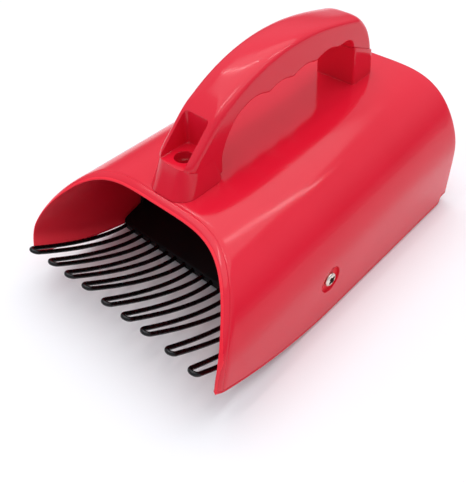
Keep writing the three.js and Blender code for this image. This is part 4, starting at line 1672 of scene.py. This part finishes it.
@dataclass
class PanScrew:
    """A pan head screw with a cross recess, in millimetres."""

    finish: bpy.types.Material
    recess_shade_finish: bpy.types.Material
    piece: str
    node: str
    seat: Vector
    axis: Vector
    shank_radius: float = 2.0
    length: float = 16.0
    head_radius: float = 4.2
    head_height: float = 2.8
    lift: float = 0.3
    turn: float = 0.6
    pitch: float = 0.9
    slot_length_share: float = 0.64
    slot_width_share: float = 0.19
    # Where the cross recess is painted dark, as painted shade
    shade_reach_share: float = 0.68
    shade_low_share: float = 0.15
    shade_high_share: float = 0.8
    shade_wall_share: float = 0.97
    steepness: float = 0.75

    def profile(self) -> list[Pair]:
        """The turned form, from the tip to the top of the head.

        Returns:
            Radius and height pairs.
        """
        r, h, s, pitch = self.head_radius, self.head_height, self.shank_radius, self.pitch
        tip = -(self.length + self.lift)
        z = tip + 1.3
        pairs = [(0.0, tip), (s * 0.35, tip + 0.25), (s * 0.8, z)]
        while z + pitch < -1.0:
            pairs += [(s * 0.82, z + pitch * 0.2), (s, z + pitch * 0.5), (s * 0.82, z + pitch * 0.8)]
            z += pitch
        pairs += [(s * 0.92, -0.8), (s * 0.92, 0.0)]
        pairs += [(r - 0.25, 0.0), (r - 0.07, 0.07), (r, 0.25), (r, h * 0.42)]
        for k in range(1, 9):
            angle = math.pi / 2 * k / 8
            pairs.append((r * 0.42 + r * 0.58 * math.cos(angle) ** 0.9, h * 0.42 + h * 0.5 * math.sin(angle)))
        return pairs + [(r * 0.2, h * 0.975), (0.0, h)]

    def recess(self, base: Vector) -> bpy.types.Mesh:
        """Draw the cross recess as a solid that narrows with depth.

        Args:
            base: the middle of the head's underside.

        Returns:
            The solid.
        """
        r, h = self.head_radius, self.head_height
        facing = UP.rotation_difference(self.axis)
        rings = []
        for z, size in ((h * 0.22, 0.42), (h * 0.5, 0.78), (h * 1.3, 1.25)):
            long = r * self.slot_length_share * size
            wide = r * self.slot_width_share * (0.55 + 0.45 * size)
            corner = wide * 1.5
            ring = []
            for quarter in range(4):
                angle = quarter * math.pi / 2 + self.turn
                cos, sin = math.cos(angle), math.sin(angle)
                for x, y in ((long, -wide), (long, wide), (corner, corner)):
                    spot = Vector((x * cos - y * sin, x * sin + y * cos, z))
                    spot.rotate(facing)
                    ring.append(tuple(base + spot))
            rings.append(ring)
        draft = Draft()
        draft.loft(rings)
        return draft.mesh(f"{self.piece}_recess", 20.0)

    def is_in_recess(self, face: bpy.types.MeshPolygon, base: Vector) -> bool:
        """Whether a face is one of the recess, which is painted dark as painted shade.

        Args:
            face: the face.
            base: the middle of the head's underside.

        Returns:
            True in the recess.
        """
        x, y, z = face.center
        spot = Vector((x / MM, y / MM - ROW_SHIFT_MM, z / MM)) - base
        height = spot.dot(self.axis)
        steep = abs(face.normal.dot(self.axis)) < self.steepness
        low = self.head_height * self.shade_low_share
        high = self.head_height * (self.shade_wall_share if steep else self.shade_high_share)
        across = (spot - self.axis * height).length
        return low < height < high and across < self.head_radius * self.shade_reach_share

    def build(self) -> bpy.types.Object:
        """Draw the head, its recess and the threaded shank, and dress them.

        Returns:
            The piece.
        """
        base = self.seat + self.axis * self.lift
        turned = Draft()
        turned.lathe(base, self.axis, self.profile(), sides=56)
        data = combine(turned.mesh(f"{self.piece}_turned"), [("DIFFERENCE", self.recess(base))])
        screw = place_piece(self.piece, data, self.finish, Slot.STEEL, self.node)
        # The recess faces are painted dark: painted shade in the hollow
        data.materials.append(self.recess_shade_finish)
        for face in data.polygons:
            if self.is_in_recess(face, base):
                face.material_index = 1
        return screw


@dataclass
class ScrewSet:
    """All screws and nuts, in millimetres."""

    finish: bpy.types.Material
    recess_shade_finish: bpy.types.Material
    hood: HoodShell
    handle: LoopHandle
    strip_pitches: tuple[float, ...] = (-1.5, 1.5, -3.5, 3.5)
    strip_y: float = 59.1
    strip_z: float = 5.2

    def build_handle_screws(self) -> None:
        """Draw the front and the rear screw of the handle."""
        for label, (seat, axis) in (("front", self.handle.front_seat()), ("rear", self.handle.rear_seat())):
            PanScrew(self.finish, self.recess_shade_finish, f"{label}_screw", f"{label}_handle_screw",
                     seat, axis).build()

    def build_side_screws(self) -> None:
        """Draw the screw in each side wall, and dress its nut."""
        for side in Side:
            seat = Vector((side.value * self.hood.seat_x(), self.hood.recess_y, self.hood.recess_z))
            label = side.name.lower()
            PanScrew(self.finish, self.recess_shade_finish, f"{label}_wall_screw", f"{label}_side_screw",
                     seat, Vector((side.value, 0, 0)), length=14.0, head_radius=4.1, head_height=2.5).build()
            dress_node(f"{label}_side_nut", self.finish)

    def build_strip_screws(self) -> None:
        """Draw the screws of the clamp strip, each between two teeth."""
        for number, pitches in enumerate(self.strip_pitches, start=1):
            seat = Vector((pitches * HairpinTooth.pitch, self.strip_y, self.strip_z))
            PanScrew(self.finish, self.recess_shade_finish, f"strip_screw_{number}", f"clamp_screw_{number}",
                     seat, DOWN, shank_radius=1.5, length=6.4, head_radius=2.4, head_height=1.5).build()

    def build(self) -> None:
        """Draw them all."""
        self.build_handle_screws()
        self.build_side_screws()
        self.build_strip_screws()


# Stage


@dataclass
class Studio:
    """A plain pale floor, soft light and the camera at the photograph's angle, in metres."""

    location: Point = (0.211765, -0.233749, 0.288122)
    right: Point = (0.72866, 0.68443, -0.02467)
    up: Point = (-0.44935, 0.50496, 0.73695)
    back: Point = (0.51685, -0.52590, 0.67549)
    lens: float = 49.08
    floor_half: float = 6.0
    floor_colour: str = "F6F5F4"
    tent_colour: str = "EEF1FB"

    def build_floor(self) -> None:
        """Lay the pale matt floor."""
        data = bpy.data.meshes.new("floor")
        half = self.floor_half
        data.from_pydata([(-half, -half, 0), (half, -half, 0), (half, half, 0), (-half, half, 0)], [],
                         [(0, 1, 2, 3)])
        floor = bpy.data.objects.new("floor", data)
        bpy.context.scene.collection.objects.link(floor)
        material = bpy.data.materials.new("pale_floor")
        material.use_nodes = True
        tree = material.node_tree
        tree.nodes.clear()
        shader = add_node(tree, SURFACE, {"Base Color": linear(self.floor_colour), "Roughness": 0.75,
                                          "Specular IOR Level": 0.2})
        add_node(tree, "ShaderNodeOutputMaterial", links={"Surface": shader.outputs["BSDF"]})
        data.materials.append(material)
        floor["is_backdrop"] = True

    def build_world(self) -> None:
        """Surround the scene with a soft tent, bright overhead, and with white where the camera looks."""
        world = bpy.data.worlds.new("studio")
        bpy.context.scene.world = world
        world.use_nodes = True
        tree = world.node_tree
        tree.nodes.clear()
        rays = add_node(tree, "ShaderNodeLightPath")
        place = add_node(tree, "ShaderNodeTexCoord").outputs["Generated"]
        way = add_node(tree, "ShaderNodeSeparateXYZ", links={0: place}).outputs
        tent = add_node(tree, RAMP, span(0.1, 0.65, 0.25, 0.9), {"Value": way["Z"]},
                        interpolation_type="SMOOTHSTEP")
        # A paler band round the horizon, dimmer towards the front left
        sweep = add_node(tree, RAMP, span(-0.02, 0.3, 0.65, 0.0), {"Value": way["Z"]},
                         interpolation_type="SMOOTHSTEP")
        sideways = add_node(tree, MATH, links={0: way["X"], 1: way["Y"]}, operation="ADD")
        share = add_node(tree, RAMP, span(-1.2, 0.1, 0.5, 1.0), {"Value": sideways.outputs[0]},
                         interpolation_type="SMOOTHSTEP")
        band = add_node(tree, MATH, links={0: sweep.outputs["Result"], 1: share.outputs["Result"]},
                        operation="MULTIPLY")
        level = add_node(tree, MATH, links={0: tent.outputs["Result"], 1: band.outputs[0]},
                         operation="MAXIMUM")
        soft = add_node(tree, GLOW, {"Color": linear(self.tent_colour)}, {"Strength": level.outputs[0]})
        white = add_node(tree, GLOW, {"Color": (1, 1, 1, 1), "Strength": 1.0})
        mixed = add_node(tree, "ShaderNodeMixShader",
                         links={0: rays.outputs["Is Camera Ray"], 1: soft.outputs[0], 2: white.outputs[0]})
        add_node(tree, "ShaderNodeOutputWorld", links={"Surface": mixed.outputs[0]})

    def add_lamp(self, name: str, spot: Point, along: Point, size: Pair, power: float) -> None:
        """Hang one soft box and point it at the rake.

        Args:
            name: the lamp's name.
            spot: where its middle hangs.
            along: the direction of its long side, roughly.
            size: its long and its short side.
            power: its power in watts.
        """
        data = bpy.data.lights.new(name, "AREA")
        data.shape = "RECTANGLE"
        data.size, data.size_y = size
        data.energy = power
        lamp = bpy.data.objects.new(name, data)
        behind = (Vector(spot) - Vector((0, 0, 0.08))).normalized()
        across = behind.cross(Vector(along)).normalized()
        turn = Matrix((across.cross(behind), across, behind)).transposed().to_4x4()
        turn.translation = Vector(spot)
        lamp.matrix_world = turn
        bpy.context.scene.collection.objects.link(lamp)

    def add_ceiling(self, name: str, way: Point, spread: float, power: float) -> None:
        """Light the whole floor evenly from above, as a wide white ceiling does.

        Args:
            name: the lamp's name.
            way: the direction that the light comes from.
            spread: the angle in degrees under which the ceiling is seen.
            power: its strength in watts for each square metre.
        """
        data = bpy.data.lights.new(name, "SUN")
        data.energy = power
        data.angle = math.radians(spread)
        lamp = bpy.data.objects.new(name, data)
        lamp.rotation_euler = Vector(way).to_track_quat("Z", "Y").to_euler()
        bpy.context.scene.collection.objects.link(lamp)

    def build_camera(self) -> None:
        """Stand the camera where the photograph was taken from."""
        data = bpy.data.cameras.new("camera")
        data.lens = self.lens
        data.sensor_width = 36.0
        data.sensor_fit = "AUTO"
        data.clip_start = 0.01
        camera = bpy.data.objects.new("camera", data)
        columns = Matrix((self.right, self.up, self.back)).transposed().to_4x4()
        columns.translation = Vector(self.location)
        camera.matrix_world = columns
        bpy.context.scene.collection.objects.link(camera)
        bpy.context.scene.camera = camera

    def build(self) -> None:
        """Set the whole stage."""
        bpy.context.scene.view_settings.view_transform = "Standard"
        self.build_floor()
        self.build_world()
        self.build_camera()
        self.add_ceiling("soft_ceiling", (-0.2, 0.22, 1.55), 68.0, 1.2)
        # Narrow strips, which show as thin streaks along the shoulder and the grip
        self.add_lamp("shoulder_strip", (0.18, 0.6, 1.12), (0.43, 0.27, -0.24), (0.6, 0.015), 0.5)
        self.add_lamp("grip_strip", (-0.15, -0.3, 1.3), (0, 1, 0), (0.45, 0.012), 0.9)
        self.add_lamp("grip_strip_far", (-0.62, 0.26, 1.1), (0.35, 0.24, 0.14), (0.5, 0.006), 0.35)


def corners(bounds: Sequence[Sequence[float]]) -> list[list[float]]:
    """The lowest and highest corner as plain lists."""
    low, high = bounds
    return [[float(v) for v in low], [float(v) for v in high]]


def main() -> None:
    """Build and dress the whole rake and its stage."""
    logging.basicConfig(level=logging.INFO, format="%(name)s %(message)s")
    cad_box = corners(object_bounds())
    Studio().build()
    red = MouldedAbs().make()
    # The inside's red is painted lighter than the outside's, as painted light inside the hood; its rougher
    # finish is the mould's core side
    red_inside_painted_light = MouldedAbs("moulded_abs_core_side_painted_light", "FA2038", "F0182F", roughness=0.34, haze=0.12).make()
    black = MouldedBlack().make()
    wire = DippedWire().make()
    steel = PlatedSteel().make()
    # Dark steel for the screws' cross recesses: painted shade where little light gets in
    recess_shade_steel = PlatedSteel("zinc_plated_steel_painted_recess_shade", "4A443B", "2B2823", roughness=0.5).make()

    hood = HoodShell(red, red_inside_painted_light)
    post = RearPost()
    hood.build(post)
    handle = LoopHandle(red, hood, post)
    handle.build()
    Comb(black, wire).build()
    ScrewSet(steel, recess_shade_steel, hood, handle).build()

    {"cad": cad_box, "visual": corners(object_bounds())}


if __name__ == "__main__":
    main()
